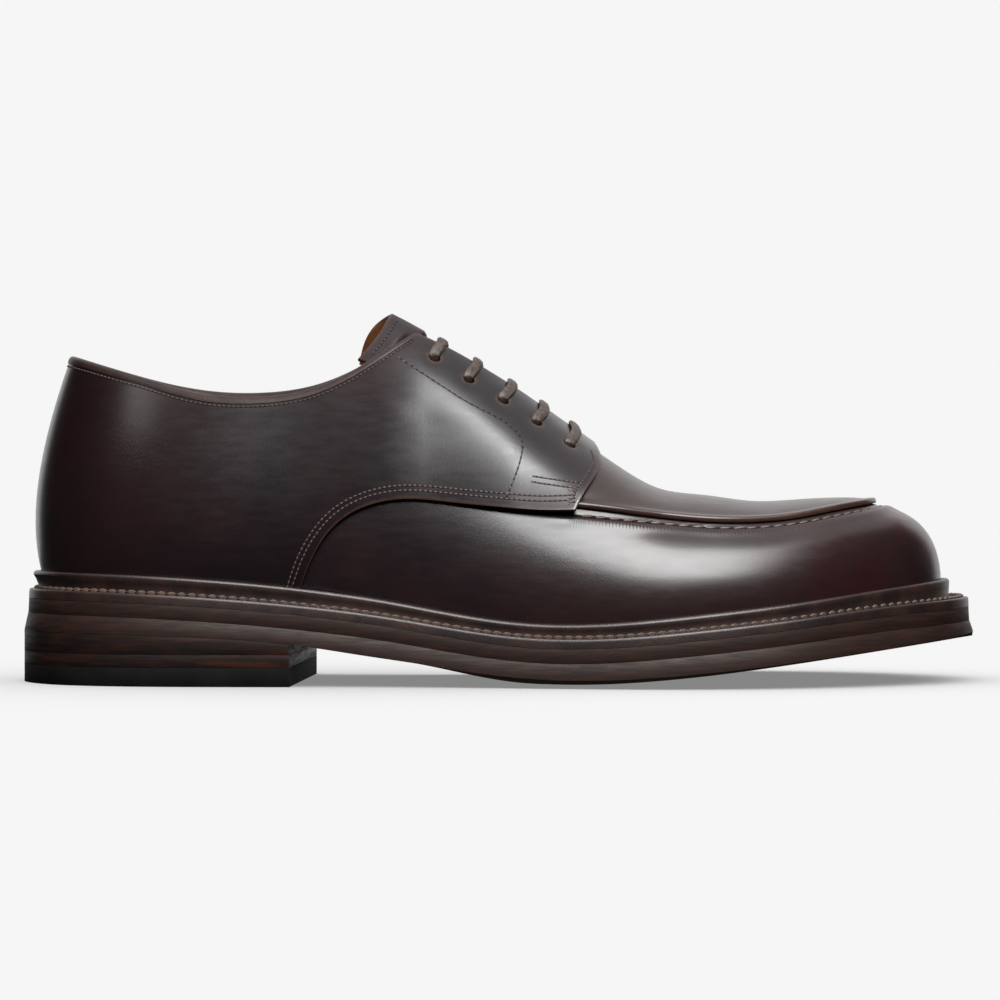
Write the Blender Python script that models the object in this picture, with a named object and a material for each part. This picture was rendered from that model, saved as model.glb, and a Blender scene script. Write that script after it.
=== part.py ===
"""Apron toe derby, right shoe, modelled as the pieces that a shoemaker puts together.

Every surface of the shoe comes from one last. Columns stand on the feather line, where the upper
meets the welt, and run up to the crest of the instep; the tables below give their shape, a row for
each section. The upper, the pieces sewn over it, the tongue and the insole are all read from that
last, at their own depth. Tables are in millimetres: x runs from the heel to the toe, 0 at the middle
of the shoe, y is negative on the lateral side, and z is 0 on the floor.
"""

import math

import bmesh
import bpy
import numpy as np
from mathutils import Vector

MM = 0.001

# Driving dimensions, in millimetres
CLEARANCE = 0.3
SOLE_FLARE = 1.6
WELT_THICKNESS = 3.2
MIDSOLE_THICKNESS = 4.2
INSOLE_THICKNESS = 3.0
TOP_PIECE_THICKNESS = 6.0
LIFT_THICKNESS = 4.0
BREAST_LATERAL = -65.0
BREAST_MEDIAL = -62.0
UPPER_WALL = 1.5
BURIED = 0.05
BURIED_EDGE = -62.0
SEAM_STATION = 0.0075
COLUMNS = 37
ROWS = 11
PLATE_COLUMNS = 30
HALVINGS = 26
SETTLE_ROUNDS = 8
SHARP_DEGREES = 40
OVERLAY = 1.2
OVERLAY_GAP = 0.5
RIB_THICKNESS = 2.0
APRON_THICKNESS = 0.9
APRON_BACK_CREST = 28.5
APRON_BACK_SIDE = 14.0
THROAT_END = 27.0
THROAT_BACK = -45.0
QUARTER_GAP = 0.8
EYELETS = 5
EYELET_FIRST = (-21.2, 102.3)
EYELET_STEP = (10.5, -7.2)
EYELET_RADIUS = 1.9
EYELET_REACH = 13.0
LACE_RADIUS = 1.1
LACE_ON_TOP = OVERLAY + LACE_RADIUS + CLEARANCE
BAR_LEAN = 1.7
BAR_LEAN_STEP = -0.8
TONGUE_FRONT = 44.0
TONGUE_TIP = -34.5
TONGUE_THICKNESS = 1.8
TONGUE_SLANT = 0.44
TONGUE_HOLLOW_LATERAL = 1.0
TONGUE_HOLLOW_MEDIAL = -2.1
TONGUE_RISE = 2.0
CROWN = 3.4

# The last, a row for each section: x, welt edge on the lateral and medial side, shelf from the welt
# edge to the last, and the column that rises there: the x of its head on the crest, how far and at
# which angle it rises from the feather line (lateral, medial), and how it rolls over to the crest
SECTION_COLUMNS = ("x", "lateral", "medial", "shelf", "head", "rise", "lean_lateral", "lean_medial",
                   "roll", "reach")
SECTIONS = [
    (-151.4, 0.0, 0.0, 7.2, -118.0, 32.0, 21, 21, 67, 51),
    (-146.0, -18.0, 17.6, 7.2, -117.0, 32.0, 20, 20, 66, 51),
    (-130.0, -32.0, 31.0, 7.0, -112.0, 33.0, 17, 17, 64, 51),
    (-105.0, -38.4, 37.0, 6.8, -100.0, 34.0, 13, 14, 62, 52),
    (-78.0, -39.8, 37.3, 6.6, -78.0, 34.0, 10, 14, 60, 52),
    (-52.0, -41.0, 35.0, 6.3, -54.0, 34.0, 9, 16, 50, 44),
    (-26.0, -43.2, 32.2, 5.9, -28.0, 36.0, 8, 17, 26, 30),
    (0.0, -47.0, 33.2, 5.8, -2.0, 34.0, 8, 16, 14, 24),
    (26.0, -51.6, 38.8, 5.8, 24.0, 31.0, 9, 12, 6, 25),
    (52.0, -54.6, 48.0, 5.9, 50.0, 30.0, 9, 10, 2, 28),
    (78.0, -52.6, 54.4, 6.1, 74.0, 29.0, 8, 8, 0, 29),
    (102.0, -46.0, 52.6, 6.7, 92.0, 27.5, 7, 7, -1, 30),
    (124.0, -34.4, 44.4, 7.7, 99.5, 26.0, 5, 5, -2, 30),
    (141.0, -20.4, 30.8, 8.5, 101.6, 24.5, 4, 4, -2, 30),
    (151.4, 5.0, 5.0, 8.7, 102.2, 24.0, 3, 3, -2, 30),
]

# Heights along the shoe
WELT_TOP = [(-151.4, 30.0), (-120, 29.3), (-86, 27.5), (-60, 25.2), (-33, 21.7), (-10, 17.9),
            (10, 15.7), (30, 15.6), (59, 17.9), (89, 21.2), (121, 25.0), (151.4, 27.1)]
SOLE_UNDERSIDE = [(-151.4, 16.6), (-100, 15.6), (-65, 13.2), (-44, 10.1), (-24, 7.2), (0, 3.8),
                  (25, 2.6), (63, 5.0), (99, 9.1), (134, 13.4), (153, 15.8)]
CREST = [(-125, 150), (-87, 147), (-56, 130.5), (-38, 120.6), (-21, 111.4), (0, 95.8), (19, 81.2),
         (38, 67.6), (50, 60.9), (65, 58.4), (82, 56.3), (97, 56.8), (110, 57.4)]
SPINE = [(-150, 0), (-60, -1.5), (0, -3.0), (50, 0.5), (102, 5.0)]
RIB_HEIGHT = [(-151, 5.0), (-60, 4.6), (0, 3.7), (60, 4.0), (121, 4.6), (151, 5.6)]
TOPLINE_LATERAL = [(-150, 107.6), (-137, 103.4), (-124, 99.2), (-110, 94.8), (-94, 90.5), (-78, 89.5),
                   (-62, 91.4), (-47, 97.4), (-36, 104.4), (-27, 110.2), (-15, 116.5)]
TOPLINE_MEDIAL = [(-150, 107.6), (-137, 103.4), (-124, 99.4), (-110, 95.6), (-94, 92.9), (-78, 92.5),
                  (-62, 94.6), (-47, 100.2), (-36, 106.3), (-27, 111.2), (-15, 116.5)]
THROAT = [(-40, 8.5), (-21, 7.4), (0, 5.6), (15, 3.8), (24, 1.7), (27, 0.0)]
QUARTER_LOWER = [(-66, 10), (-62.5, 29), (-60, 36.5), (-55.8, 44.6), (-50, 51.2), (-41, 56.1),
                 (-31.4, 58.0), (-16.6, 57.1), (0.5, 54.9), (11.3, 53.8), (23.2, 53.5), (40, 53.5)]
QUARTER_FRONT = [(50, 22.0), (53.6, 23.2), (56.4, 24.6), (62, 28.0), (68.5, 30.6), (72, 29.6), (76, 27.4)]
APRON_SEAM = [(0, 57.0), (26, 55.0), (60, 51.1), (94, 52.0), (107, 54.4), (121, 56.6), (135, 58.6)]
TONGUE_HALF_WIDTH = [(-35, 27), (-10, 27), (20, 22), (44, 17)]


def natural_spline(points):
    """A smooth curve through the points of a table, straight at its ends."""
    x, y = (np.array(column, float) for column in zip(*points))
    count = len(x)
    step = np.diff(x)
    matrix = np.zeros((count, count))
    right = np.zeros(count)
    matrix[0, 0] = matrix[-1, -1] = 1
    for i in range(1, count - 1):
        matrix[i, i - 1:i + 2] = step[i - 1], 2 * (step[i - 1] + step[i]), step[i]
        right[i] = 6 * ((y[i + 1] - y[i]) / step[i] - (y[i] - y[i - 1]) / step[i - 1])
    bend = np.linalg.solve(matrix, right)

    def curve(at):
        at = np.clip(np.asarray(at, float), x[0], x[-1])
        i = np.clip(np.searchsorted(x, at) - 1, 0, count - 2)
        before, after = (x[i + 1] - at) / step[i], (at - x[i]) / step[i]
        bow = (before ** 3 - before) * bend[i] + (after ** 3 - after) * bend[i + 1]
        return before * y[i] + after * y[i + 1] + bow * step[i] ** 2 / 6
    return curve


def periodic_spline(values):
    """A smooth closed curve through one value for each whole number of its parameter."""
    y = np.array(values, float)
    count = len(y)
    unit = np.eye(count)
    matrix = 4 * unit + np.roll(unit, 1, 0) + np.roll(unit, -1, 0)
    bend = np.linalg.solve(matrix, 6 * (np.roll(y, 1) - 2 * y + np.roll(y, -1)))

    def curve(at):
        at = np.asarray(at, float)
        whole = np.floor(at).astype(int)
        after = at - whole
        before = 1 - after
        i, j = whole % count, (whole + 1) % count
        bow = (before ** 3 - before) * bend[i] + (after ** 3 - after) * bend[j]
        return before * y[i] + after * y[j] + bow / 6
    return curve


def smoothstep(low, high, value):
    """0 below low, 1 above high, and a soft step between them."""
    part = np.clip((value - low) / (high - low), 0, 1)
    return part * part * (3 - 2 * part)


def around(lateral, medial):
    """Both sides of the sections as one closed curve: heel, lateral side, toe, medial side."""
    return periodic_spline(lateral + medial[-2:0:-1])


TABLE = {name: [row[i] for row in SECTIONS] for i, name in enumerate(SECTION_COLUMNS)}
TOE = len(SECTIONS) - 1
ROUND = 2 * TOE
edge_x = around(TABLE["x"], TABLE["x"])
edge_y = around(TABLE["lateral"], TABLE["medial"])
shelf = around(TABLE["shelf"], TABLE["shelf"])
head_x = around(TABLE["head"], TABLE["head"])
rise = around(TABLE["rise"], TABLE["rise"])
lean = around(TABLE["lean_lateral"], TABLE["lean_medial"])
roll = around(TABLE["roll"], TABLE["roll"])
reach = around(TABLE["reach"], TABLE["reach"])
welt_top = natural_spline(WELT_TOP)
sole_underside = natural_spline(SOLE_UNDERSIDE)
crest = natural_spline(CREST)
spine = natural_spline(SPINE)
rib_height = natural_spline(RIB_HEIGHT)
topline_lateral = natural_spline(TOPLINE_LATERAL)
topline_medial = natural_spline(TOPLINE_MEDIAL)
throat = natural_spline(THROAT)
quarter_lower = natural_spline(QUARTER_LOWER)
quarter_front = natural_spline(QUARTER_FRONT)
apron_seam = natural_spline(APRON_SEAM)
tongue_half_width = natural_spline(TONGUE_HALF_WIDTH)


def outline(u, outward=0.0):
    """A point of the welt's edge in plan, moved outward or, below zero, inward."""
    nudge = 0.01
    along_x = edge_x(u + nudge) - edge_x(u - nudge)
    along_y = edge_y(u + nudge) - edge_y(u - nudge)
    length = np.hypot(along_x, along_y)
    return edge_x(u) + along_y / length * outward, edge_y(u) - along_x / length * outward


def column(u, t):
    """A point of the last, where t runs up from the feather line at 0 to the crest at 1."""
    foot_x, foot_y = outline(u, -shelf(u))
    foot_z = welt_top(foot_x)
    top_x = head_x(u)
    top_y = spine(top_x)
    top_z = crest(top_x)
    run = np.hypot(top_x - foot_x, top_y - foot_y)
    in_x, in_y = (top_x - foot_x) / run, (top_y - foot_y) / run
    slope = (crest(top_x + 1) - crest(top_x - 1)) / 2 * in_x
    out, tilt = np.radians(lean(u)), np.radians(roll(u))
    flat = reach(u) * np.cos(tilt)
    drop = reach(u) * np.sin(tilt) + slope * flat
    sink = rise(u) * np.sin(out)
    low = foot_x - in_x * sink, foot_y - in_y * sink, foot_z + rise(u) * np.cos(out)
    high = top_x - in_x * flat, top_y - in_y * flat, top_z - drop
    points = zip((foot_x, foot_y, foot_z), low, high, (top_x, top_y, top_z))
    weights = (1 - t) ** 3, 3 * (1 - t) ** 2 * t, 3 * (1 - t) * t ** 2, t ** 3
    return np.stack([sum(w * p for w, p in zip(weights, axis)) for axis in points], axis=-1)


def last(u, t, lift=0.0):
    """A point of the last moved out along its normal; below the feather line the wall is upright."""
    u, t = np.broadcast_arrays(np.asarray(u, float), np.asarray(t, float))
    on = np.clip(t, 0, 1)
    near = np.clip(on, 0.01, 0.98)
    across = column(u + 0.02, near) - column(u - 0.02, near)
    upward = column(u, near + 0.01) - column(u, near - 0.01)
    normal = np.cross(across, upward)
    normal[..., 2] *= smoothstep(0, 0.08, on)
    normal /= np.linalg.norm(normal, axis=-1, keepdims=True)
    top_x = head_x(u)
    ridge = np.stack([(crest(top_x - 1) - crest(top_x + 1)) / 2, 0 * u, 1 + 0 * u], axis=-1)
    ridge /= np.linalg.norm(ridge, axis=-1, keepdims=True)
    normal += (ridge - normal) * smoothstep(0.9, 1, on)[..., None]
    normal /= np.linalg.norm(normal, axis=-1, keepdims=True)
    point = column(u, on) + normal * np.asarray(lift)[..., None]
    point[..., 2] += np.minimum(t, 0) / BURIED * WELT_THICKNESS
    return point


def first_true(condition, u):
    """The lowest t of each column where the condition turns from false to true."""
    low, high = np.zeros_like(u), np.ones_like(u)
    for _ in range(HALVINGS):
        middle = (low + high) / 2
        passed = condition(column(u, middle))
        high = np.where(passed, middle, high)
        low = np.where(passed, low, middle)
    return high


def above_top(u, least_gap):
    """Whether a point lies above the topline or inside the throat opening."""
    topline = topline_lateral if np.mean(u) < TOE else topline_medial

    def condition(point):
        x, y, z = point[..., 0], point[..., 1], point[..., 2]
        in_throat = np.abs(y - spine(x)) <= np.maximum(throat(x), least_gap)
        along_throat = (x > THROAT_BACK) & (x < THROAT_END + 8 * least_gap)
        return (x < -12) & (z >= topline(x)) | in_throat & along_throat
    return condition


def top_of(u, least_gap=0.0):
    """The t at which each column ends, at the topline, the throat or the crest."""
    u = np.asarray(u, float)
    lateral = first_true(above_top(np.zeros(1), least_gap), u)
    medial = first_true(above_top(np.full(1, ROUND), least_gap), u)
    return np.where(u % ROUND <= TOE, lateral, medial)


def station(x, t, medial=False):
    """The u at which the column of one side passes x at height t."""
    x, t = np.broadcast_arrays(np.asarray(x, float), np.asarray(t, float))
    low, high = np.zeros_like(x), np.full_like(x, TOE)
    for _ in range(HALVINGS):
        middle = (low + high) / 2
        ahead = column(ROUND - middle if medial else middle, t)[..., 0] >= x
        high = np.where(ahead, middle, high)
        low = np.where(ahead, low, middle)
    return ROUND - high if medial else high


def over(x, side, lift):
    """A point at x, side millimetres down from the crest along the section, medial above zero."""
    steps = np.linspace(1, 0, 80)
    result = []
    for one_x, one_side, one_lift in np.broadcast(x, side, lift):
        u = station(one_x, 1.0, one_side > 0)
        run = column(np.full_like(steps, u), steps)
        length = np.concatenate([[0], np.cumsum(np.linalg.norm(np.diff(run, axis=0), axis=1))])
        result.append(last(u, np.interp(abs(one_side), length, steps), one_lift))
    return np.array(result)


def mirror_stations(first, end, count):
    """Matching stations of both sides, through the toe, so that their columns meet on the crest."""
    lateral = np.linspace(first, end, count)
    return np.concatenate([lateral, ROUND - lateral[-2::-1]])


def principled(name, colour, roughness, metallic=0.0):
    """A plain material of one finish."""
    material = bpy.data.materials.new(name)
    material.use_nodes = True
    shader = material.node_tree.nodes["Principled BSDF"]
    shader.inputs["Base Color"].default_value = (*colour, 1)
    shader.inputs["Roughness"].default_value = roughness
    shader.inputs["Metallic"].default_value = metallic
    return material


def grid_at(points):
    """A grid of faces laid on points, and the layers that hold the index of each vertex in them."""
    columns, rows = points.shape[:2]
    bm = bmesh.new()
    bmesh.ops.create_grid(bm, x_segments=columns - 1, y_segments=rows - 1, size=1)
    place = [bm.verts.layers.int.new(axis) for axis in ("column", "row")]
    for vert in bm.verts:
        at = round((vert.co.x + 1) / 2 * (columns - 1)), round((vert.co.y + 1) / 2 * (rows - 1))
        vert[place[0]], vert[place[1]] = at
        vert.co = points[at] * MM
    bmesh.ops.remove_doubles(bm, verts=bm.verts, dist=0.02 * MM)
    return bm, place


def link_piece(name, bm, material):
    """The piece made of a finished mesh, smooth but for its hard edges."""
    mesh = bpy.data.meshes.new(name)
    bm.to_mesh(mesh)
    bm.free()
    mesh.shade_smooth()
    mesh.set_sharp_from_angle(angle=math.radians(SHARP_DEGREES))
    piece = bpy.data.objects.new(name, mesh)
    piece.data.materials.append(material)
    bpy.context.scene.collection.objects.link(piece)
    return piece


def solid_between(name, outer, inner, material, flatten=False):
    """One closed piece between two grids of points: a grid laid on the first, extruded to the second."""
    bm, place = grid_at(outer)
    grown = bmesh.ops.extrude_face_region(bm, geom=bm.faces[:], use_keep_orig=True)
    for vert in grown["geom"]:
        if isinstance(vert, bmesh.types.BMVert):
            vert.co = inner[vert[place[0]], vert[place[1]]] * MM
    bmesh.ops.triangulate(bm, faces=bm.faces, quad_method="SHORT_EDGE")
    bmesh.ops.recalc_face_normals(bm, faces=bm.faces)
    if flatten:
        bmesh.ops.dissolve_limit(bm, angle_limit=math.radians(0.05), verts=bm.verts, edges=bm.edges)
    return link_piece(name, bm, material)


def plate(name, top, bottom, material, rows=2):
    """A plate of the sole; top and bottom give a point for a station and a place across the sole."""
    u = np.linspace(0, TOE, PLATE_COLUMNS)[:, None]
    across = np.linspace(0, 1, rows + 1)[None, :]
    return solid_between(name, top(u, across), bottom(u, across), material)


def between_edges(u, across, outward):
    """A plan point between the lateral edge at station u and the medial edge opposite it."""
    lateral_x, lateral_y = outline(u, outward)
    medial_x, medial_y = outline(ROUND - u, outward)
    return lateral_x + (medial_x - lateral_x) * across, lateral_y + (medial_y - lateral_y) * across


def under_welt(outward, below):
    """The points of one face of a plate, at a depth below the top of the welt."""
    def face(u, across):
        x, y = between_edges(u, across, outward)
        return np.stack([x, y, welt_top(x) - below], axis=-1)
    return face


def clear_scene():
    """Remove whatever the scene holds."""
    for item in list(bpy.data.objects):
        bpy.data.objects.remove(item)


def sole_bottom(u, across):
    """The underside of the outsole: crowned across the tread, with a flat spot on the floor."""
    x, y = between_edges(u, across, SOLE_FLARE)
    bow = 1 - (2 * across - 1) ** 2
    crown = CROWN * smoothstep(-50, 10, x) * (1 - 0.5 * smoothstep(60, 150, x))
    return np.stack([x, y, np.maximum(sole_underside(x) - crown * bow, 0)], axis=-1)


def make_sole(finish):
    """Outsole and midsole, plates of the full outline."""
    midsole_top = WELT_THICKNESS + CLEARANCE
    outsole_top = midsole_top + MIDSOLE_THICKNESS + CLEARANCE
    plate("outsole", under_welt(0.4, outsole_top), sole_bottom, finish["sole_edge"], rows=6)
    plate("midsole", under_welt(0.0, midsole_top), under_welt(0.3, midsole_top + MIDSOLE_THICKNESS),
          finish["sole_edge"])


def heel_plate(name, top, bottom, material):
    """A layer of the heel, from the back of the sole to the breast."""
    columns, rows = 15, 2
    part = np.linspace(0, 1, columns)[:, None]
    across = np.linspace(0, 1, rows + 1)[None, :]
    ends = station(BREAST_LATERAL, 0.0), ROUND - station(BREAST_MEDIAL, 0.0, True)

    def face(height):
        x, y = outline(part * ends[0], SOLE_FLARE)
        far_x, far_y = outline(ROUND - part * ends[1], SOLE_FLARE)
        x, y = x + (far_x - x) * across, y + (far_y - y) * across
        return np.stack([x, y, height(x)], axis=-1)
    return solid_between(name, face(top), face(bottom), material, flatten=True)


def make_heel(finish):
    """Two leather lifts, wedge shaped above and level below, and the rubber top piece."""
    lower_top = TOP_PIECE_THICKNESS + LIFT_THICKNESS
    heel_plate("heel_lift_upper", lambda x: sole_underside(x) - CLEARANCE,
               lambda x: np.full_like(x, lower_top), finish["heel_stack"])
    heel_plate("heel_lift_lower", lambda x: np.full_like(x, lower_top - CLEARANCE),
               lambda x: np.full_like(x, TOP_PIECE_THICKNESS), finish["heel_stack"])
    heel_plate("heel_top_piece", lambda x: np.full_like(x, TOP_PIECE_THICKNESS - CLEARANCE),
               lambda x: np.zeros_like(x), finish["top_piece"])


def welt_inset(u):
    """How far the inner side of the welt stands off the last: it also clears the quarters behind."""
    return 1.5 * CLEARANCE + (OVERLAY_GAP + OVERLAY) * (1 - smoothstep(-54, -44, edge_x(u)))


def make_welt(finish):
    """A storm welt all round: a flat shelf, with a rib that stands against the upper."""
    u = wall_stations()[:, None]
    inner = -shelf(u) + welt_inset(u)
    height = rib_height(edge_x(u))
    slant = height * np.tan(np.radians(lean(u)))
    nose = inner + RIB_THICKNESS
    profile = [(inner, -WELT_THICKNESS), (inner, 0), (inner + slant, height),
               (inner + slant + 0.5 * RIB_THICKNESS, height + 0.5), (nose + slant, height - 0.6),
               (nose + slant / 2, 0.3), (0, 0), (0.2, -WELT_THICKNESS)]
    loops = []
    for outward, above in profile + profile[:1]:
        x, y = outline(u, outward + 0 * u)
        loops.append(np.stack([x, y, welt_top(x) + above], axis=-1))
    bm, _ = grid_at(np.concatenate(loops, axis=1))
    bmesh.ops.recalc_face_normals(bm, faces=bm.faces)
    link_piece("welt", bm, finish["welt"])


def make_insole(finish):
    """The footbed inside the upper, lying on the midsole."""
    def face(below):
        def point(u, across):
            x, y = between_edges(u, across, -shelf(u) - UPPER_WALL - 2 * CLEARANCE)
            return np.stack([x, y, welt_top(x) - below], axis=-1)
        return point
    plate("insole", face(WELT_THICKNESS - INSOLE_THICKNESS), face(WELT_THICKNESS), finish["lining"])


def wall_stations():
    """The columns of the upper, which the pieces sewn over it share, so that all lie parallel."""
    fan = mirror_stations(0, TOE, COLUMNS)
    throat_end = station(THROAT_END, 1.0)
    nearest = np.argmin(np.abs(fan - throat_end))
    fan[nearest] = throat_end
    fan[len(fan) - 1 - nearest] = ROUND - throat_end
    return fan


def wall_rows(u, least_gap=0.0):
    """The rows of each column, from the foot of the wall up to the top of the column."""
    share = np.concatenate([[0], np.linspace(0, 1, ROWS) ** 0.9])
    rows = top_of(u.ravel(), least_gap).reshape(u.shape) * share
    rows[:, 0] = -BURIED
    return rows


def make_upper(finish):
    """The lined upper: one hollow wall, open below, at the collar and along the throat."""
    u = np.repeat(wall_stations()[:, None], ROWS + 1, axis=1)
    t = wall_rows(u)
    return solid_between("upper", last(u, t), last(u, t, -UPPER_WALL), finish["upper"])


def overlay_lift(x):
    """How high a quarter lies: on the upper behind, and over the apron at its front."""
    return OVERLAY_GAP + (OVERLAY + CLEARANCE) * smoothstep(-24, 6, x)


def other_side(u, medial):
    """The station on the medial side that matches a lateral one."""
    return ROUND - u if medial else u


def edge_height(u, medial, edge):
    """The t at which the columns of one side cross an edge that is drawn from the side."""
    flat = other_side(u, medial).ravel()
    return first_true(lambda point: point[..., 2] >= edge(point[..., 0]), flat).reshape(u.shape)


def make_quarter(name, medial, finish):
    """One quarter, sewn over the upper from the back seam to the front of the facing."""
    fan = wall_stations()[:COLUMNS]
    fan = np.repeat(np.concatenate([[SEAM_STATION], fan[1:]])[:, None], ROWS + 1, axis=1)
    u = fan
    for _ in range(SETTLE_ROUNDS):
        lower = edge_height(u, medial, quarter_lower)
        lower = np.where(column(other_side(u, medial), 0 * u)[..., 0] < BURIED_EDGE, -BURIED, lower)
        t = np.maximum(wall_rows(other_side(u, medial), QUARTER_GAP), lower)
        height = column(other_side(u, medial), np.maximum(t, 0))[..., 2]
        front = other_side(station(quarter_front(height), np.maximum(t, 0), medial), medial)
        u = np.minimum(fan, front)
    placed = other_side(u, medial)
    low = overlay_lift(column(placed, np.maximum(t, 0))[..., 0])
    return solid_between(name, last(placed, t, low + OVERLAY), last(placed, t, low), finish["quarter"])


def make_apron(finish):
    """The apron on top of the toe, its edge raised over the vamp."""
    fan = wall_stations()[:COLUMNS]
    fan = fan[fan > station(APRON_BACK_SIDE - 8, 0.5)]
    fan = np.repeat(fan[:, None], ROWS + 1, axis=1)
    sides = []
    for medial in (False, True):
        rows = wall_rows(other_side(fan, medial))
        rows[:, -1] = 1
        u = fan
        for _ in range(SETTLE_ROUNDS):
            t = np.maximum(rows, edge_height(u, medial, apron_seam))
            share = smoothstep(0.4, 1.0, t)
            back_x = APRON_BACK_SIDE + (APRON_BACK_CREST - APRON_BACK_SIDE) * share
            back = other_side(station(back_x, t, medial), medial)
            u = np.maximum(fan, back)
        sides.append((other_side(u, medial), t))
    u = np.concatenate([sides[0][0], sides[1][0][-2::-1]])
    t = np.concatenate([sides[0][1], sides[1][1][-2::-1]])
    high = OVERLAY_GAP + APRON_THICKNESS
    return solid_between("apron", last(u, t, high), last(u, t, OVERLAY_GAP), finish["upper"])


def tongue_lift(x, side):
    """How deep the tongue lies: it leaves room for the lace, and rises at its free end."""
    deep = UPPER_WALL + 2 * LACE_RADIUS + 4 * CLEARANCE
    shallow = UPPER_WALL + 2 * CLEARANCE
    depth = deep + (shallow - deep) * smoothstep(-24, -29, x)
    end = TONGUE_RISE * smoothstep(-24, TONGUE_TIP, x) * (1 - smoothstep(0, 17, np.abs(side)))
    return end - depth


def make_tongue(finish):
    """The tongue: a curved sheet that closes the throat from inside, its end above the topline."""
    columns, rows = 15, 13
    middle = np.linspace(TONGUE_FRONT, TONGUE_TIP, columns)[:, None]
    side = np.linspace(-1, 1, rows)[None, :] * tongue_half_width(middle)
    hollow = np.where(side < 0, TONGUE_HOLLOW_LATERAL, TONGUE_HOLLOW_MEDIAL)
    hollow = hollow * np.sin(np.abs(side) / tongue_half_width(middle) * math.pi)
    x = middle - TONGUE_SLANT * np.abs(side) + hollow * smoothstep(0, TONGUE_TIP, middle)
    lift = tongue_lift(middle + 0 * side, side)
    shape = (columns, rows, 3)
    return solid_between("tongue", over(x, side, lift).reshape(shape),
                         over(x, side, lift - TONGUE_THICKNESS).reshape(shape), finish["tongue"])


def eyelet(number, medial):
    """The station and height of an eyelet, counted from the top of the throat."""
    x = EYELET_FIRST[0] + EYELET_STEP[0] * number
    z = EYELET_FIRST[1] + EYELET_STEP[1] * number
    t = np.array([0.7])
    for _ in range(SETTLE_ROUNDS):
        u = station(np.array([x]), t, medial)
        t = first_true(lambda point: point[..., 2] >= z, u)
    return float(u[0]), float(t[0])


def cut_eyelets(pieces):
    """Round holes through the upper and the quarters."""
    bm = bmesh.new()
    for number in range(EYELETS):
        for medial in (False, True):
            u, t = eyelet(number, medial)
            inside, outside = last(u, t, -4.0), last(u, t, 7.0)
            axis = outside - inside
            depth = float(np.linalg.norm(axis))
            made = bmesh.ops.create_cone(bm, cap_ends=True, segments=10, radius1=EYELET_RADIUS * MM,
                                         radius2=EYELET_RADIUS * MM, depth=depth * MM)
            turn = Vector((0, 0, 1)).rotation_difference(Vector(axis))
            bmesh.ops.rotate(bm, verts=made["verts"], cent=(0, 0, 0), matrix=turn.to_matrix())
            bmesh.ops.translate(bm, verts=made["verts"], vec=Vector((inside + outside) / 2) * MM)
    mesh = bpy.data.meshes.new("eyelet_cutter")
    bm.to_mesh(mesh)
    bm.free()
    cutter = bpy.data.objects.new("eyelet_cutter", mesh)
    cutter.hide_render = True
    cutter.display_type = "WIRE"
    bpy.context.scene.collection.objects.link(cutter)
    for piece in pieces:
        hole = piece.modifiers.new("eyelets", "BOOLEAN")
        hole.operation = "DIFFERENCE"
        hole.solver = "EXACT"
        hole.object = cutter


def lace_route():
    """Points of the lace: a straight bar over each pair of eyelets, and slanting runs beneath."""
    under = -(UPPER_WALL + CLEARANCE + LACE_RADIUS)
    points = []
    for number in reversed(range(EYELETS)):
        heads = []
        for u, t in (eyelet(number, False), eyelet(number, True)):
            above = overlay_lift(column(np.array(u), np.array(t))[0]) + LACE_ON_TOP
            heads.append([last(u, t, lift) for lift in (under, 0.0, float(above))])
        foot_x = float(heads[0][2][0])
        top_lift = float(overlay_lift(foot_x)) + LACE_ON_TOP
        gap = max(float(throat(foot_x)), 2.6)
        sides = np.array([-9.0, -gap, gap, 9.0])
        bar_lean = BAR_LEAN + BAR_LEAN_STEP * number
        ridge = over(foot_x + bar_lean * (1 - np.abs(sides) / EYELET_REACH), sides, top_lift)
        points += heads[0] + list(ridge) + heads[1][::-1]
        if number:
            goal = eyelet(number - 1, False)
            start_x, goal_x = heads[1][0][0], float(last(*goal, under)[0])
            for part, side in ((0.2, 8.5), (0.35, 4.5), (0.5, 0.3), (0.65, -4.5), (0.8, -8.5)):
                points.append(over(start_x + (goal_x - start_x) * part, side, under)[0])
    return np.array(points)


def make_lace(finish):
    """One lace, a round cord of twisted and waxed cotton."""
    route = lace_route() * MM
    curve = bpy.data.curves.new("lace", "CURVE")
    curve.dimensions = "3D"
    curve.bevel_depth = LACE_RADIUS * MM
    curve.bevel_resolution = 2
    curve.render_resolution_u = 0
    curve.use_fill_caps = True
    spline = curve.splines.new("POLY")
    spline.points.add(len(route) - 1)
    for point, at in zip(spline.points, route):
        point.co = (*at, 1)
    lace = bpy.data.objects.new("lace", curve)
    lace.data.materials.append(finish["lace"])
    bpy.context.scene.collection.objects.link(lace)


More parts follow.
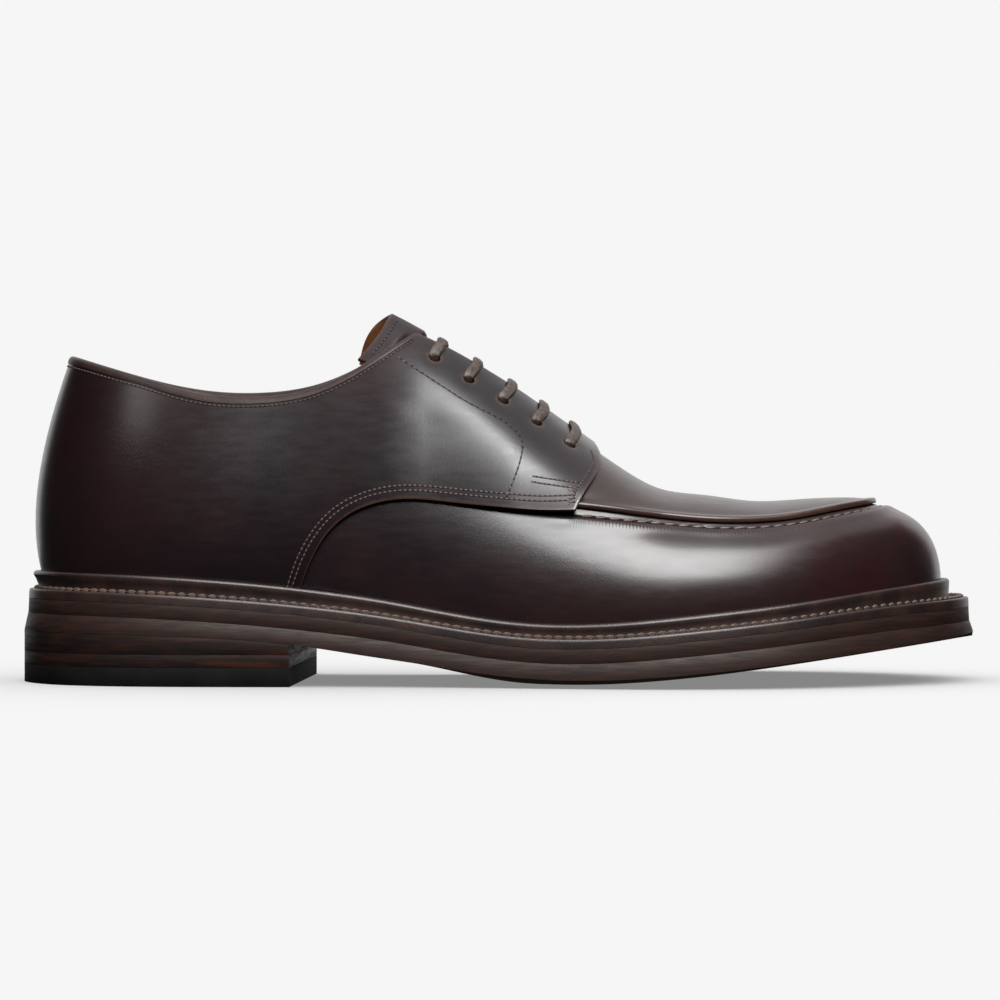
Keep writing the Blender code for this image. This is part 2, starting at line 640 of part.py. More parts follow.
def main():
    """Model the whole shoe."""
    clear_scene()
    finish = {
        "upper": principled("upper_leather", (0.030, 0.013, 0.015), 0.28),
        "quarter": principled("quarter_leather", (0.034, 0.015, 0.016), 0.28),
        "tongue": principled("tongue_leather", (0.040, 0.018, 0.016), 0.35),
        "lining": principled("lining_leather", (0.30, 0.13, 0.05), 0.6),
        "welt": principled("welt_leather", (0.050, 0.024, 0.020), 0.45),
        "sole_edge": principled("sole_leather", (0.045, 0.022, 0.016), 0.5),
        "heel_stack": principled("heel_leather", (0.060, 0.022, 0.014), 0.5),
        "top_piece": principled("rubber", (0.015, 0.014, 0.013), 0.6),
        "lace": principled("waxed_cotton", (0.11, 0.07, 0.05), 0.6),
    }
    make_sole(finish)
    make_heel(finish)
    make_welt(finish)
    make_insole(finish)
    upper = make_upper(finish)
    make_apron(finish)
    lateral = make_quarter("quarter_lateral", False, finish)
    medial = make_quarter("quarter_medial", True, finish)
    make_tongue(finish)
    cut_eyelets([upper, lateral, medial])
    make_lace(finish)


main()
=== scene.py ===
# %% [markdown]
# # An apron toe derby
#
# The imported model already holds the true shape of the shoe: its last, its wall and its sole. This
# script dresses that frame. It lays finer leather over the same last, sews it, laces it and lights it.
# The frame is loaded first, so that every piece is placed by the sizes that the frame was made from.

import math

import bmesh
import bpy
import numpy as np
from mathutils import Matrix, Vector


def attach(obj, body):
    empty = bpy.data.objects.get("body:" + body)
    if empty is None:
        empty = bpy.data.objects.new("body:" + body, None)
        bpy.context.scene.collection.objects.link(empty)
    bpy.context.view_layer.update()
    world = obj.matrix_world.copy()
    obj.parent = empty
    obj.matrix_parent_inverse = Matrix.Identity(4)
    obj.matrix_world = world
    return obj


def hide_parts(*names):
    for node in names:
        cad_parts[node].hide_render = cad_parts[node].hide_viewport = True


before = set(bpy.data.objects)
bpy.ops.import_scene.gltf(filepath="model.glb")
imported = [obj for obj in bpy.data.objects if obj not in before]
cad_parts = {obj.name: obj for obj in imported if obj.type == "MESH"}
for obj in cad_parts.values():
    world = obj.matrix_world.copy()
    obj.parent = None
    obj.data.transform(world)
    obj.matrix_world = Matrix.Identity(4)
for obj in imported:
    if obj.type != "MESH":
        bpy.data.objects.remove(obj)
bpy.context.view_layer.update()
MM = 0.001
print("nodes:", ", ".join(sorted(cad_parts)))

# %% [markdown]
# ## The camera
#
# The shoe is seen square from its lateral side, from about a metre away and half its own height. A long
# lens keeps the far side of the collar only a little above the near one. The lens and the distance were
# found by laying the outline of the shoe over the photograph's.

# %% Place the camera
CAMERA_PLACE = (0.0, -1.05, 0.058)
LENS = 117.2
SENSOR = 36.0

camera = bpy.data.objects.new("camera", bpy.data.cameras.new("camera"))
camera.location = CAMERA_PLACE
camera.rotation_euler = (math.radians(90), 0, 0)
camera.data.lens = LENS
camera.data.sensor_width = SENSOR
camera.data.clip_start = 0.01
bpy.context.scene.collection.objects.link(camera)
bpy.context.scene.camera = camera

# %% [markdown]
# ## The last
#
# A shoemaker lasts every piece over one wooden form, and so does this script. The tables are those of
# the frame's own source, in millimetres. A column of the last stands on the feather line, where upper
# and welt meet, and rises to the crest of the instep: `u` says which column, counted round the shoe from
# the heel over the lateral side to the toe and back, and `t` how far up it.

# %% Sizes of the last
SECTION_COLUMNS = ("x", "lateral", "medial", "shelf", "head",
                   "rise", "lean_lateral", "lean_medial", "roll", "reach")
SECTIONS = [
    (-151.4, 0.0, 0.0, 7.2, -118.0, 32.0, 21, 21, 67, 51),
    (-146.0, -18.0, 17.6, 7.2, -117.0, 32.0, 20, 20, 66, 51),
    (-130.0, -32.0, 31.0, 7.0, -112.0, 33.0, 17, 17, 64, 51),
    (-105.0, -38.4, 37.0, 6.8, -100.0, 34.0, 13, 14, 62, 52),
    (-78.0, -39.8, 37.3, 6.6, -78.0, 34.0, 10, 14, 60, 52),
    (-52.0, -41.0, 35.0, 6.3, -54.0, 34.0, 9, 16, 50, 44),
    (-26.0, -43.2, 32.2, 5.9, -28.0, 36.0, 8, 17, 26, 30),
    (0.0, -47.0, 33.2, 5.8, -2.0, 34.0, 8, 16, 14, 24),
    (26.0, -51.6, 38.8, 5.8, 24.0, 31.0, 9, 12, 6, 25),
    (52.0, -54.6, 48.0, 5.9, 50.0, 30.0, 9, 10, 2, 28),
    (78.0, -52.6, 54.4, 6.1, 74.0, 29.0, 8, 8, 0, 29),
    (102.0, -46.0, 52.6, 6.7, 92.0, 27.5, 7, 7, -1, 30),
    (124.0, -34.4, 44.4, 7.7, 99.5, 26.0, 5, 5, -2, 30),
    (141.0, -20.4, 30.8, 8.5, 101.6, 24.5, 4, 4, -2, 30),
    (151.4, 5.0, 5.0, 8.7, 102.2, 24.0, 3, 3, -2, 30),
]
WELT_TOP = [(-151.4, 30.0), (-120, 29.3), (-86, 27.5), (-60, 25.2), (-33, 21.7), (-10, 17.9),
            (10, 15.7), (30, 15.6), (59, 17.9), (89, 21.2), (121, 25.0), (151.4, 27.1)]
SOLE_UNDERSIDE = [(-151.4, 16.6), (-100, 15.6), (-65, 13.2), (-44, 10.1), (-24, 7.2), (0, 3.8),
                  (25, 2.6), (63, 5.0), (99, 9.1), (134, 13.4), (153, 15.8)]
CREST = [(-125, 150), (-87, 147), (-56, 130.5), (-38, 120.6), (-21, 111.4), (0, 95.8), (19, 81.2),
         (38, 67.6), (50, 60.9), (65, 58.4), (82, 56.3), (97, 56.8), (110, 57.4)]
SPINE = [(-150, 0), (-60, -1.5), (0, -3.0), (50, 0.5), (102, 5.0)]
RIB_HEIGHT = [(-151, 5.0), (-60, 4.6), (0, 3.7), (60, 4.0), (121, 4.6), (151, 5.6)]
TOPLINE_LATERAL = [(-150, 107.6), (-137, 103.4), (-124, 99.2), (-110, 94.8), (-94, 90.5), (-78, 89.5),
                   (-62, 91.4), (-47, 97.4), (-36, 104.4), (-27, 110.2), (-15, 116.5)]
TOPLINE_MEDIAL = [(-150, 107.6), (-137, 103.4), (-124, 99.4), (-110, 95.6), (-94, 92.9), (-78, 92.5),
                  (-62, 94.6), (-47, 100.2), (-36, 106.3), (-27, 111.2), (-15, 116.5)]
THROAT = [(-40, 8.5), (-21, 7.4), (0, 5.6), (15, 3.8), (24, 1.7), (27, 0.0)]
QUARTER_LOWER = [(-66, 10), (-62.5, 29), (-60, 36.5), (-55.8, 44.6), (-50, 51.2), (-41, 56.1),
                 (-31.4, 58.0), (-16.6, 57.1), (0.5, 54.9), (11.3, 53.8), (23.2, 53.5), (40, 53.5)]
QUARTER_FRONT = [(50, 22.0), (53.6, 23.2), (56.4, 24.6), (62, 28.0), (68.5, 30.6), (72, 29.6), (76, 27.4)]
APRON_SEAM = [(0, 57.0), (26, 55.0), (60, 51.1), (94, 52.0), (107, 54.4), (121, 56.6), (135, 58.6)]
TONGUE_HALF_WIDTH = [(-35, 27), (-10, 27), (20, 22), (44, 17)]
CLEARANCE = 0.3
BURIED = 0.05
THROAT_END = 27.0
THROAT_BACK = -45.0


# %% Curves through a table
def natural_spline(points):
    """A smooth curve through the points of a table, straight at its ends."""
    x, y = (np.array(column, float) for column in zip(*points))
    count = len(x)
    step = np.diff(x)
    matrix = np.zeros((count, count))
    right = np.zeros(count)
    matrix[0, 0] = matrix[-1, -1] = 1
    for i in range(1, count - 1):
        matrix[i, i - 1:i + 2] = step[i - 1], 2 * (step[i - 1] + step[i]), step[i]
        right[i] = 6 * ((y[i + 1] - y[i]) / step[i] - (y[i] - y[i - 1]) / step[i - 1])
    bend = np.linalg.solve(matrix, right)

    def curve(at):
        at = np.clip(np.asarray(at, float), x[0], x[-1])
        i = np.clip(np.searchsorted(x, at) - 1, 0, count - 2)
        before, after = (x[i + 1] - at) / step[i], (at - x[i]) / step[i]
        bow = (before ** 3 - before) * bend[i] + (after ** 3 - after) * bend[i + 1]
        return before * y[i] + after * y[i + 1] + bow * step[i] ** 2 / 6
    return curve


def periodic_spline(values):
    """A smooth closed curve through one value for each whole number of its parameter."""
    y = np.array(values, float)
    count = len(y)
    unit = np.eye(count)
    matrix = 4 * unit + np.roll(unit, 1, 0) + np.roll(unit, -1, 0)
    bend = np.linalg.solve(matrix, 6 * (np.roll(y, 1) - 2 * y + np.roll(y, -1)))

    def curve(at):
        at = np.asarray(at, float)
        whole = np.floor(at).astype(int)
        after = at - whole
        before = 1 - after
        i, j = whole % count, (whole + 1) % count
        bow = (before ** 3 - before) * bend[i] + (after ** 3 - after) * bend[j]
        return before * y[i] + after * y[j] + bow / 6
    return curve


def smoothstep(low, high, value):
    """0 below low, 1 above high, and a soft step between them."""
    part = np.clip((value - low) / (high - low), 0, 1)
    return part * part * (3 - 2 * part)


def hump(value, middle, width):
    """1 at the middle, fading softly to 0 at about two widths from it."""
    return np.exp(-((value - middle) / width) ** 2)


# %% Turn the tables into curves
def around(lateral, medial):
    """Both sides of the sections as one closed curve: heel, lateral side, toe, medial side."""
    return periodic_spline(lateral + medial[-2:0:-1])


TABLE = {name: [row[i] for row in SECTIONS] for i, name in enumerate(SECTION_COLUMNS)}
TOE = len(SECTIONS) - 1
ROUND = 2 * TOE
edge_x = around(TABLE["x"], TABLE["x"])
edge_y = around(TABLE["lateral"], TABLE["medial"])
shelf = around(TABLE["shelf"], TABLE["shelf"])
head_x = around(TABLE["head"], TABLE["head"])
rise = around(TABLE["rise"], TABLE["rise"])
lean = around(TABLE["lean_lateral"], TABLE["lean_medial"])
roll = around(TABLE["roll"], TABLE["roll"])
reach = around(TABLE["reach"], TABLE["reach"])
welt_top = natural_spline(WELT_TOP)
sole_underside = natural_spline(SOLE_UNDERSIDE)
crest = natural_spline(CREST)
spine = natural_spline(SPINE)
rib_height = natural_spline(RIB_HEIGHT)
topline_lateral = natural_spline(TOPLINE_LATERAL)
topline_medial = natural_spline(TOPLINE_MEDIAL)
throat = natural_spline(THROAT)
quarter_lower = natural_spline(QUARTER_LOWER)
quarter_front = natural_spline(QUARTER_FRONT)
apron_seam = natural_spline(APRON_SEAM)
tongue_half_width = natural_spline(TONGUE_HALF_WIDTH)


# %% Points of the last
def outline(u, outward=0.0):
    """A point of the welt's edge in plan, moved outward or, below zero, inward."""
    nudge = 0.01
    along_x = edge_x(u + nudge) - edge_x(u - nudge)
    along_y = edge_y(u + nudge) - edge_y(u - nudge)
    length = np.hypot(along_x, along_y)
    return edge_x(u) + along_y / length * outward, edge_y(u) - along_x / length * outward


def column(u, t):
    """A point of the last, where t runs up from the feather line at 0 to the crest at 1."""
    foot_x, foot_y = outline(u, -shelf(u))
    foot_z = welt_top(foot_x)
    top_x = head_x(u)
    top_y = spine(top_x)
    top_z = crest(top_x)
    run = np.hypot(top_x - foot_x, top_y - foot_y)
    in_x, in_y = (top_x - foot_x) / run, (top_y - foot_y) / run
    slope = (crest(top_x + 1) - crest(top_x - 1)) / 2 * in_x
    out, tilt = np.radians(lean(u)), np.radians(roll(u))
    flat, sink = reach(u) * np.cos(tilt), rise(u) * np.sin(out)
    low = foot_x - in_x * sink, foot_y - in_y * sink, foot_z + rise(u) * np.cos(out)
    drop = reach(u) * np.sin(tilt) + slope * flat
    high = top_x - in_x * flat, top_y - in_y * flat, top_z - drop
    points = zip((foot_x, foot_y, foot_z), low, high, (top_x, top_y, top_z))
    weights = (1 - t) ** 3, 3 * (1 - t) ** 2 * t, 3 * (1 - t) * t ** 2, t ** 3
    return np.stack([sum(w * p for w, p in zip(weights, axis)) for axis in points], axis=-1)


def last(u, t, lift=0.0):
    """A point of the last moved out along its normal; below the feather line the wall is upright."""
    u, t = np.broadcast_arrays(np.asarray(u, float), np.asarray(t, float))
    on = np.clip(t, 0, 1)
    near = np.clip(on, 0.01, 0.98)
    across = column(u + 0.02, near) - column(u - 0.02, near)
    upward = column(u, near + 0.01) - column(u, near - 0.01)
    normal = np.cross(across, upward)
    normal[..., 2] *= smoothstep(0, 0.08, on)
    normal /= np.linalg.norm(normal, axis=-1, keepdims=True)
    top_x = head_x(u)
    ridge = np.stack([(crest(top_x - 1) - crest(top_x + 1)) / 2, 0 * u, 1 + 0 * u], axis=-1)
    ridge /= np.linalg.norm(ridge, axis=-1, keepdims=True)
    normal += (ridge - normal) * smoothstep(0.9, 1, on)[..., None]
    normal /= np.linalg.norm(normal, axis=-1, keepdims=True)
    point = column(u, on) + normal * np.asarray(lift)[..., None]
    point[..., 2] += np.minimum(t, 0) / BURIED * WELT_THICKNESS
    return point


# %% Where a column passes a height or a place along the shoe
HALVINGS = 22
SPOT_ROUNDS = 8
SETTLE_ROUNDS = 14


def first_true(condition, u):
    """The lowest t of each column where the condition turns from false to true."""
    low, high = np.zeros_like(u), np.ones_like(u)
    for _ in range(HALVINGS):
        middle = (low + high) / 2
        passed = condition(column(u, middle))
        high = np.where(passed, middle, high)
        low = np.where(passed, low, middle)
    return high


def station(x, t, medial=False):
    """The u at which the column of one side passes x at height t."""
    x, t = np.broadcast_arrays(np.asarray(x, float), np.asarray(t, float))
    low, high = np.zeros_like(x), np.full_like(x, TOE)
    for _ in range(HALVINGS):
        middle = (low + high) / 2
        ahead = column(ROUND - middle if medial else middle, t)[..., 0] >= x
        high = np.where(ahead, middle, high)
        low = np.where(ahead, low, middle)
    return ROUND - high if medial else high


def other_side(u, medial):
    """The station on the medial side that matches a lateral one."""
    return ROUND - u if medial else u


def above_top(medial, least_gap):
    """Whether a point lies above the topline or inside the throat opening."""
    topline = topline_medial if medial else topline_lateral

    def condition(point):
        x, y, z = point[..., 0], point[..., 1], point[..., 2]
        in_throat = np.abs(y - spine(x)) <= np.maximum(throat(x), least_gap)
        along_throat = (x > THROAT_BACK) & (x < THROAT_END + 8 * least_gap)
        return (x < -12) & (z >= topline(x)) | in_throat & along_throat
    return condition


def spot(x, z, medial=False):
    """The station and height of a place that is given as it is seen from the side."""
    x, z = np.asarray(x, float), np.asarray(z, float)
    t = np.full_like(x, 0.6)
    for _ in range(SPOT_ROUNDS):
        u = station(x, t, medial)
        t = first_true(lambda p: p[..., 2] >= z, u)
    return u, t


def over(x, side, lift):
    """A point at x, side millimetres down from the crest along the section, medial above zero."""
    x, side, lift = np.broadcast_arrays(np.asarray(x, float), side, lift)
    steps = np.linspace(1, 0, 80)
    u = np.where(side > 0, station(x, 1.0, True), station(x, 1.0))
    run = column(u[..., None], steps)
    hop = np.linalg.norm(np.diff(run, axis=-2), axis=-1)
    length = np.concatenate([np.zeros(u.shape + (1,)), np.cumsum(hop, axis=-1)], axis=-1)
    rows = zip(np.abs(side).ravel(), length.reshape(-1, len(steps)))
    t = np.array([np.interp(far, row, steps) for far, row in rows]).reshape(side.shape)
    return last(u, t, lift)


# %% [markdown]
# ## Sheets of leather
#
# Almost every piece of a shoe is a sheet: a face, a back and a cut edge between them. In Blender a sheet
# can be a plane with a Solidify modifier, but here both sides are known from the last, so a grid is laid
# on the face and extruded to the back. The rim is then bevelled, because a cut edge is never sharp. Each
# vertex also keeps its distance from the rim, so that a finish can burnish the leather there. The collar,
# the welt and the lace are bands instead: one profile swept along a line.

# %% A sheet between two faces
def rim_distance(points, closed):
    """How far each point of a grid is from the grid's rim, in millimetres along the grid."""
    distances = []
    for axis in ((1,) if closed else (0, 1)):
        hop = np.linalg.norm(np.diff(points, axis=axis), axis=-1)
        start = np.zeros_like(np.take(hop, [0], axis=axis))
        length = np.concatenate([start, np.cumsum(hop, axis=axis)], axis=axis)
        distances += [length, np.take(length, [-1], axis=axis) - length]
    return np.minimum.reduce(distances)


def link(name, bm, finishes, smooth=50):
    """Make an object of a finished bmesh, shaded smooth except at its sharp edges."""
    mesh = bpy.data.meshes.new(name)
    bm.to_mesh(mesh)
    bm.free()
    mesh.shade_smooth()
    mesh.set_sharp_from_angle(angle=math.radians(smooth))
    for finish in finishes:
        mesh.materials.append(finish)
    piece = bpy.data.objects.new(name, mesh)
    bpy.context.scene.collection.objects.link(piece)
    print(f"{name}: {sum(len(p.vertices) - 2 for p in mesh.polygons)} triangles")
    return piece


def lay_sheet(face, back, rim=0.25, closed=False, marks=None):
    """A bmesh of one sheet: face, back and eased edge take material 0, 1 and 2."""
    columns, rows = face.shape[:2]
    bm = bmesh.new()
    bmesh.ops.create_grid(bm, x_segments=columns - 1, y_segments=rows - 1, size=1)
    place = bm.verts.layers.int.new("place")
    marks = {"rim": rim_distance(face, closed), **(marks or {})}
    layers = {name: bm.verts.layers.float.new(name) for name in marks}
    for index, vert in enumerate(bm.verts):
        at = index % columns, index // columns
        vert[place] = at[0] * rows + at[1]
        vert.co = face[at] * MM
        for name, layer in layers.items():
            vert[layer] = marks[name][at]
    bmesh.ops.remove_doubles(bm, verts=bm.verts, dist=0.000003)
    front = set(bm.faces)
    flat_back = back.reshape(-1, 3) * MM
    grown = bmesh.ops.extrude_face_region(bm, geom=bm.faces[:], use_keep_orig=True)
    for item in grown["geom"]:
        if isinstance(item, bmesh.types.BMVert):
            item.co = flat_back[item[place]]
        elif isinstance(item, bmesh.types.BMFace):
            item.material_index = 1
    for side in bm.faces:
        if side.material_index == 0 and side not in front:
            side.material_index = 2
    bmesh.ops.recalc_face_normals(bm, faces=bm.faces)
    if rim:
        edge = [e for e in bm.edges if {f.material_index for f in e.link_faces} in ({0, 2}, {1, 2})]
        bmesh.ops.bevel(bm, geom=edge, offset=rim * MM, segments=2, profile=0.5, affect="EDGES",
                        material=-1, clamp_overlap=True)
    return bm


# %% Rings swept round the shoe
def lay_ring(name, loops, finishes, sharp=50):
    """A closed band: loops of points, one after another round the profile, the last on the first."""
    grid = np.asarray(loops)
    columns, rows = grid.shape[:2]
    bm = bmesh.new()
    bmesh.ops.create_grid(bm, x_segments=columns - 1, y_segments=rows - 1, size=1)
    for index, vert in enumerate(bm.verts):
        vert.co = grid[index % columns, index // columns] * MM
    bmesh.ops.remove_doubles(bm, verts=bm.verts, dist=0.000003)
    open_ends = [edge for edge in bm.edges if edge.is_boundary]
    if open_ends:
        bmesh.ops.holes_fill(bm, edges=open_ends)
    bmesh.ops.recalc_face_normals(bm, faces=bm.faces)
    return link(name, bm, finishes, sharp)


# %% [markdown]
# ## Thread
#
# A row of machine stitches is hundreds of short bright humps that dive into small holes, whose shade is
# painted as tiny near-black beads. Each hump is a squashed sphere of a few dozen faces, turned along the
# seam, and a whole row is one mesh. The seam is drawn as it is seen from the side, laid on the last, and
# cut into steps of the stitch length.

# %% Rows of stitches
def evenly(points, normals, pitch):
    """The middles, directions and normals of stitches of one length along a line of points."""
    hop = np.linalg.norm(np.diff(points, axis=0), axis=1)
    run = np.concatenate([[0], np.cumsum(hop)])
    count = max(1, round(run[-1] / pitch))
    at = (np.arange(count) + 0.5) * run[-1] / count
    nudge = 0.3

    def read(values, where):
        return np.stack([np.interp(where, run, values[:, axis]) for axis in range(3)], 1)
    return read(points, at), read(points, at + nudge) - read(points, at - nudge), read(normals, at)


def frame_of(along, normal):
    """Three unit vectors: along a stitch, across it, and away from the leather."""
    along = along / np.linalg.norm(along, axis=-1, keepdims=True)
    normal = normal - along * np.sum(along * normal, axis=-1, keepdims=True)
    normal = normal / np.linalg.norm(normal, axis=-1, keepdims=True)
    return along, np.cross(normal, along), normal


def add_beads(bm, places, along, normal, size, slant=0.0, segments=6, rings=5):
    """Squashed spheres of the given length, width and height, turned by slant in the leather's plane."""
    along, across, normal = frame_of(along, normal)
    turned = along * math.cos(slant) + across * math.sin(slant)
    across = np.cross(normal, turned)
    bead = bmesh.new()
    bmesh.ops.create_uvsphere(bead, u_segments=segments, v_segments=rings, radius=1)
    shape = bpy.data.meshes.new("bead")
    bead.to_mesh(shape)
    bead.free()
    for place, x, y, z in zip(places, turned, across, normal):
        axes = [Vector(y) * size[1] / 2 * MM, Vector(z) * size[2] / 2 * MM, Vector(x) * size[0] / 2 * MM]
        matrix = Matrix.Translation(Vector(place) * MM) @ Matrix(axes).transposed().to_4x4()
        turned_bead = shape.copy()
        turned_bead.transform(matrix)
        bm.from_mesh(turned_bead)
        bpy.data.meshes.remove(turned_bead)


def surface_line(u, t, lift):
    """Points on a sheet along a seam, and the sheet's normals there."""
    points = last(u, t, lift)
    return points, last(u, t, lift + 1) - points


# %% Draw a seam as it is seen from the side
def smooth_line(points, count=240):
    """A smooth line through a few points of any dimension, evenly filled."""
    points = np.array(points, float)
    run = np.concatenate([[0], np.cumsum(np.linalg.norm(np.diff(points, axis=0), axis=1))])
    at = np.linspace(0, run[-1], count)
    axes = [natural_spline(list(zip(run, values)))(at) for values in points.T]
    return np.stack(axes, 1)


def eased(points, rounds=4):
    """A line whose corners are cut again and again, so that it never swings past its points."""
    points = np.array(points, float)
    for _ in range(rounds):
        first, second = points[:-1], points[1:]
        cut = np.stack([0.75 * first + 0.25 * second, 0.25 * first + 0.75 * second], axis=1)
        points = np.concatenate([points[:1], cut.reshape(-1, points.shape[1]), points[-1:]])
    return points


def beside(points, distance):
    """A line drawn beside another one, to its left above zero, in the plane of the side view."""
    line = smooth_line(points)
    along = np.gradient(line, axis=0)
    along /= np.linalg.norm(along, axis=1, keepdims=True)
    return line + np.stack([-along[:, 1], along[:, 0]], 1) * distance


# %% [markdown]
# ## Finishes
#
# Polished calf is nearly black-brown, with burgundy in it where the wax is thin. The colour varies softly
# over a hand's width, the grain is a fine bump, and a clear coat stands for the polish. All patterns are
# procedural and read the piece's own coordinates, so they stay put when the shoe is turned.

# %% A small kit for shader nodes
class Finish:
    """A material under construction: each method adds one node and gives back its output."""

    def __init__(self, name, **settings):
        self.material = bpy.data.materials.new(name)
        self.material.use_nodes = True
        self.tree = self.material.node_tree
        self.shader = self.tree.nodes["Principled BSDF"]
        for socket, value in settings.items():
            label = socket.replace("_", " ").title().replace("Ior", "IOR")
            self.shader.inputs[label].default_value = value
        self.height = None

    def node(self, kind, inputs=(), **settings):
        made = self.tree.nodes.new(kind)
        for name, value in settings.items():
            setattr(made, name, value)
        for socket, value in dict(inputs).items():
            self.feed(made.inputs[socket], value)
        return made

    def feed(self, socket, value):
        if isinstance(value, bpy.types.NodeSocket):
            self.tree.links.new(value, socket)
        elif socket.type == "RGBA" and len(value) == 3:
            socket.default_value = (*value, 1)
        else:
            socket.default_value = value

    def place(self, stretch=(1, 1, 1)):
        """Object coordinates, stretched."""
        at = self.node("ShaderNodeTexCoord").outputs["Object"]
        return self.node("ShaderNodeMapping", {"Vector": at, "Scale": stretch}).outputs["Vector"]

    def noise(self, scale, detail=2.0, stretch=(1, 1, 1), at=None):
        place = at or self.place(stretch)
        inputs = {"Vector": place, "Scale": scale, "Detail": detail, "Lacunarity": 2.37}
        return self.node("ShaderNodeTexNoise", inputs).outputs[0]

    def marked(self, name):
        """A value that each vertex of the piece keeps."""
        return self.node("ShaderNodeAttribute", attribute_name=name).outputs["Fac"]

    def math(self, operation, *values):
        return self.node("ShaderNodeMath", dict(enumerate(values)), operation=operation).outputs[0]

    def ramp(self, value, low, high, to_low=0.0, to_high=1.0):
        inputs = {"Value": value, "From Min": low, "From Max": high, "To Min": to_low, "To Max": to_high}
        return self.node("ShaderNodeMapRange", inputs, interpolation_type="SMOOTHSTEP").outputs[0]

    def mix(self, share, first, second):
        made = self.node("ShaderNodeMix", data_type="RGBA")
        for socket, value in ((made.inputs[0], share), (made.inputs[6], first), (made.inputs[7], second)):
            self.feed(socket, value)
        return made.outputs[2]

    def bump(self, height, strength, distance):
        """Stack one more relief, distance in metres, on the ones before it."""
        inputs = {"Height": height, "Strength": strength, "Distance": distance}
        if self.height is not None:
            inputs["Normal"] = self.height
        self.height = self.node("ShaderNodeBump", inputs).outputs[0]
        self.feed(self.shader.inputs["Normal"], self.height)

    def colour(self, value):
        self.feed(self.shader.inputs["Base Color"], value)

    def rough(self, value):
        self.feed(self.shader.inputs["Roughness"], value)


# %% The leathers of the upper
def polished_leather(name, brown, deep, red, gloss=0.3):
    """Smooth calf, waxed and brushed: soft colour clouds, fine grain, burnished rims."""
    made = Finish(name, coat_weight=0.35, coat_roughness=0.22, specular_ior_level=0.5)
    clouds = made.ramp(made.noise(16, 3), 0.38, 0.66)
    body = made.mix(clouds, deep, brown)
    along_shoe = made.node("ShaderNodeSeparateXYZ", {0: made.place()}).outputs[0]
    toe = made.ramp(along_shoe, 0.085, 0.135)
    heel = made.ramp(along_shoe, -0.115, -0.145)
    blush = made.math("MULTIPLY", made.math("MAXIMUM", toe, heel), made.ramp(made.noise(28, 2), 0.35, 0.6))
    body = made.mix(made.math("MULTIPLY", blush, 0.95), body, red)
    ragged = made.math("ADD", made.marked("rim"), made.ramp(made.noise(420, 3), 0, 1, -0.5, 0.5))
    worn = made.ramp(ragged, 0.1, 1.5, 0.5, 0.0)
    made.colour(made.mix(worn, body, (0.105, 0.048, 0.030)))
    made.rough(made.ramp(made.noise(240, 3, (0.5, 1, 2)), 0.2, 0.8, gloss - 0.02, gloss + 0.05))
    made.bump(made.noise(1500, 3), 0.10, 0.0002)
    made.bump(made.noise(330, 2, (0.4, 1, 1.6)), 0.035, 0.0004)
    made.bump(made.noise(38, 1, (0.6, 1, 1.4)), 0.012, 0.0008)
    return made


PLEAT_PITCH = 1.1


def gathered_with_groove_shade(made):
    """Where the hand seam pulls the vamp: a groove painted near black as shade, and fine upright pleats
    below it.
    """
    down = made.marked("below")
    pulled = made.marked("pulled")
    # Painted shade: the band from 0.2 to 3.4 mm below the apron's edge, in the groove under its lip, is
    # darkened to near black.
    under = made.math("MULTIPLY", made.ramp(down, 0.2, 0.9), made.ramp(down, 3.4, 2.2))
    under = made.math("MULTIPLY", under, pulled)
    socket = made.shader.inputs["Base Color"]
    made.colour(made.mix(under, socket.links[0].from_socket, (0.004, 0.002, 0.002)))
    wave = made.math("SINE", made.math("MULTIPLY", made.marked("along"), 2 * math.pi / PLEAT_PITCH))
    reach = made.math("MULTIPLY", made.ramp(down, 2.0, 3.0), made.ramp(down, 7.0, 3.5))
    reach = made.math("MULTIPLY", reach, pulled)
    made.bump(made.math("MULTIPLY", wave, reach), 0.5, 0.0002)
    return made


def plain_leather(name, light, dark, roughness=0.6, grain=900, coat=0.0, shine=0.5):
    """Unpolished leather: a matt mottle of two browns."""
    made = Finish(name, coat_weight=coat, coat_roughness=0.3, specular_ior_level=shine)
    made.colour(made.mix(made.ramp(made.noise(120, 5), 0.3, 0.7), dark, light))
    made.rough(roughness)
    made.bump(made.noise(grain, 4), 0.3, 0.0002)
    return made


# The vamp's finish carries painted shade: near black in the groove under the apron's lip.
vamp_leather = gathered_with_groove_shade(polished_leather("vamp_leather", (0.019, 0.0075, 0.0075), (0.009, 0.0045, 0.0058),
                                         (0.030, 0.0030, 0.0045))).material
quarter_leather = polished_leather("quarter_leather", (0.021, 0.008, 0.009), (0.009, 0.0045, 0.0065),
                                   (0.022, 0.0035, 0.005)).material
# Partly painted sheen: the apron's base is lighter and greyer than the vamp's, partly its own tone and
# partly standing in for the overhead light that its flat top reflects.
apron_leather_and_sheen = polished_leather("apron_leather_and_sheen", (0.030, 0.016, 0.013), (0.020, 0.010, 0.009),
                                 (0.024, 0.008, 0.007), 0.36).material
cut_edge = plain_leather("cut_edge", (0.11, 0.05, 0.032), (0.045, 0.02, 0.015), 0.5, coat=0.2).material
binding_leather = plain_leather("binding_leather", (0.05, 0.024, 0.019), (0.022, 0.010, 0.009), 0.45,
                                coat=0.15).material
lining_leather = plain_leather("lining_leather", (0.46, 0.20, 0.075), (0.30, 0.12, 0.045), 0.55).material
sock_leather = plain_leather("sock_leather", (0.30, 0.15, 0.08), (0.20, 0.09, 0.045), 0.55).material


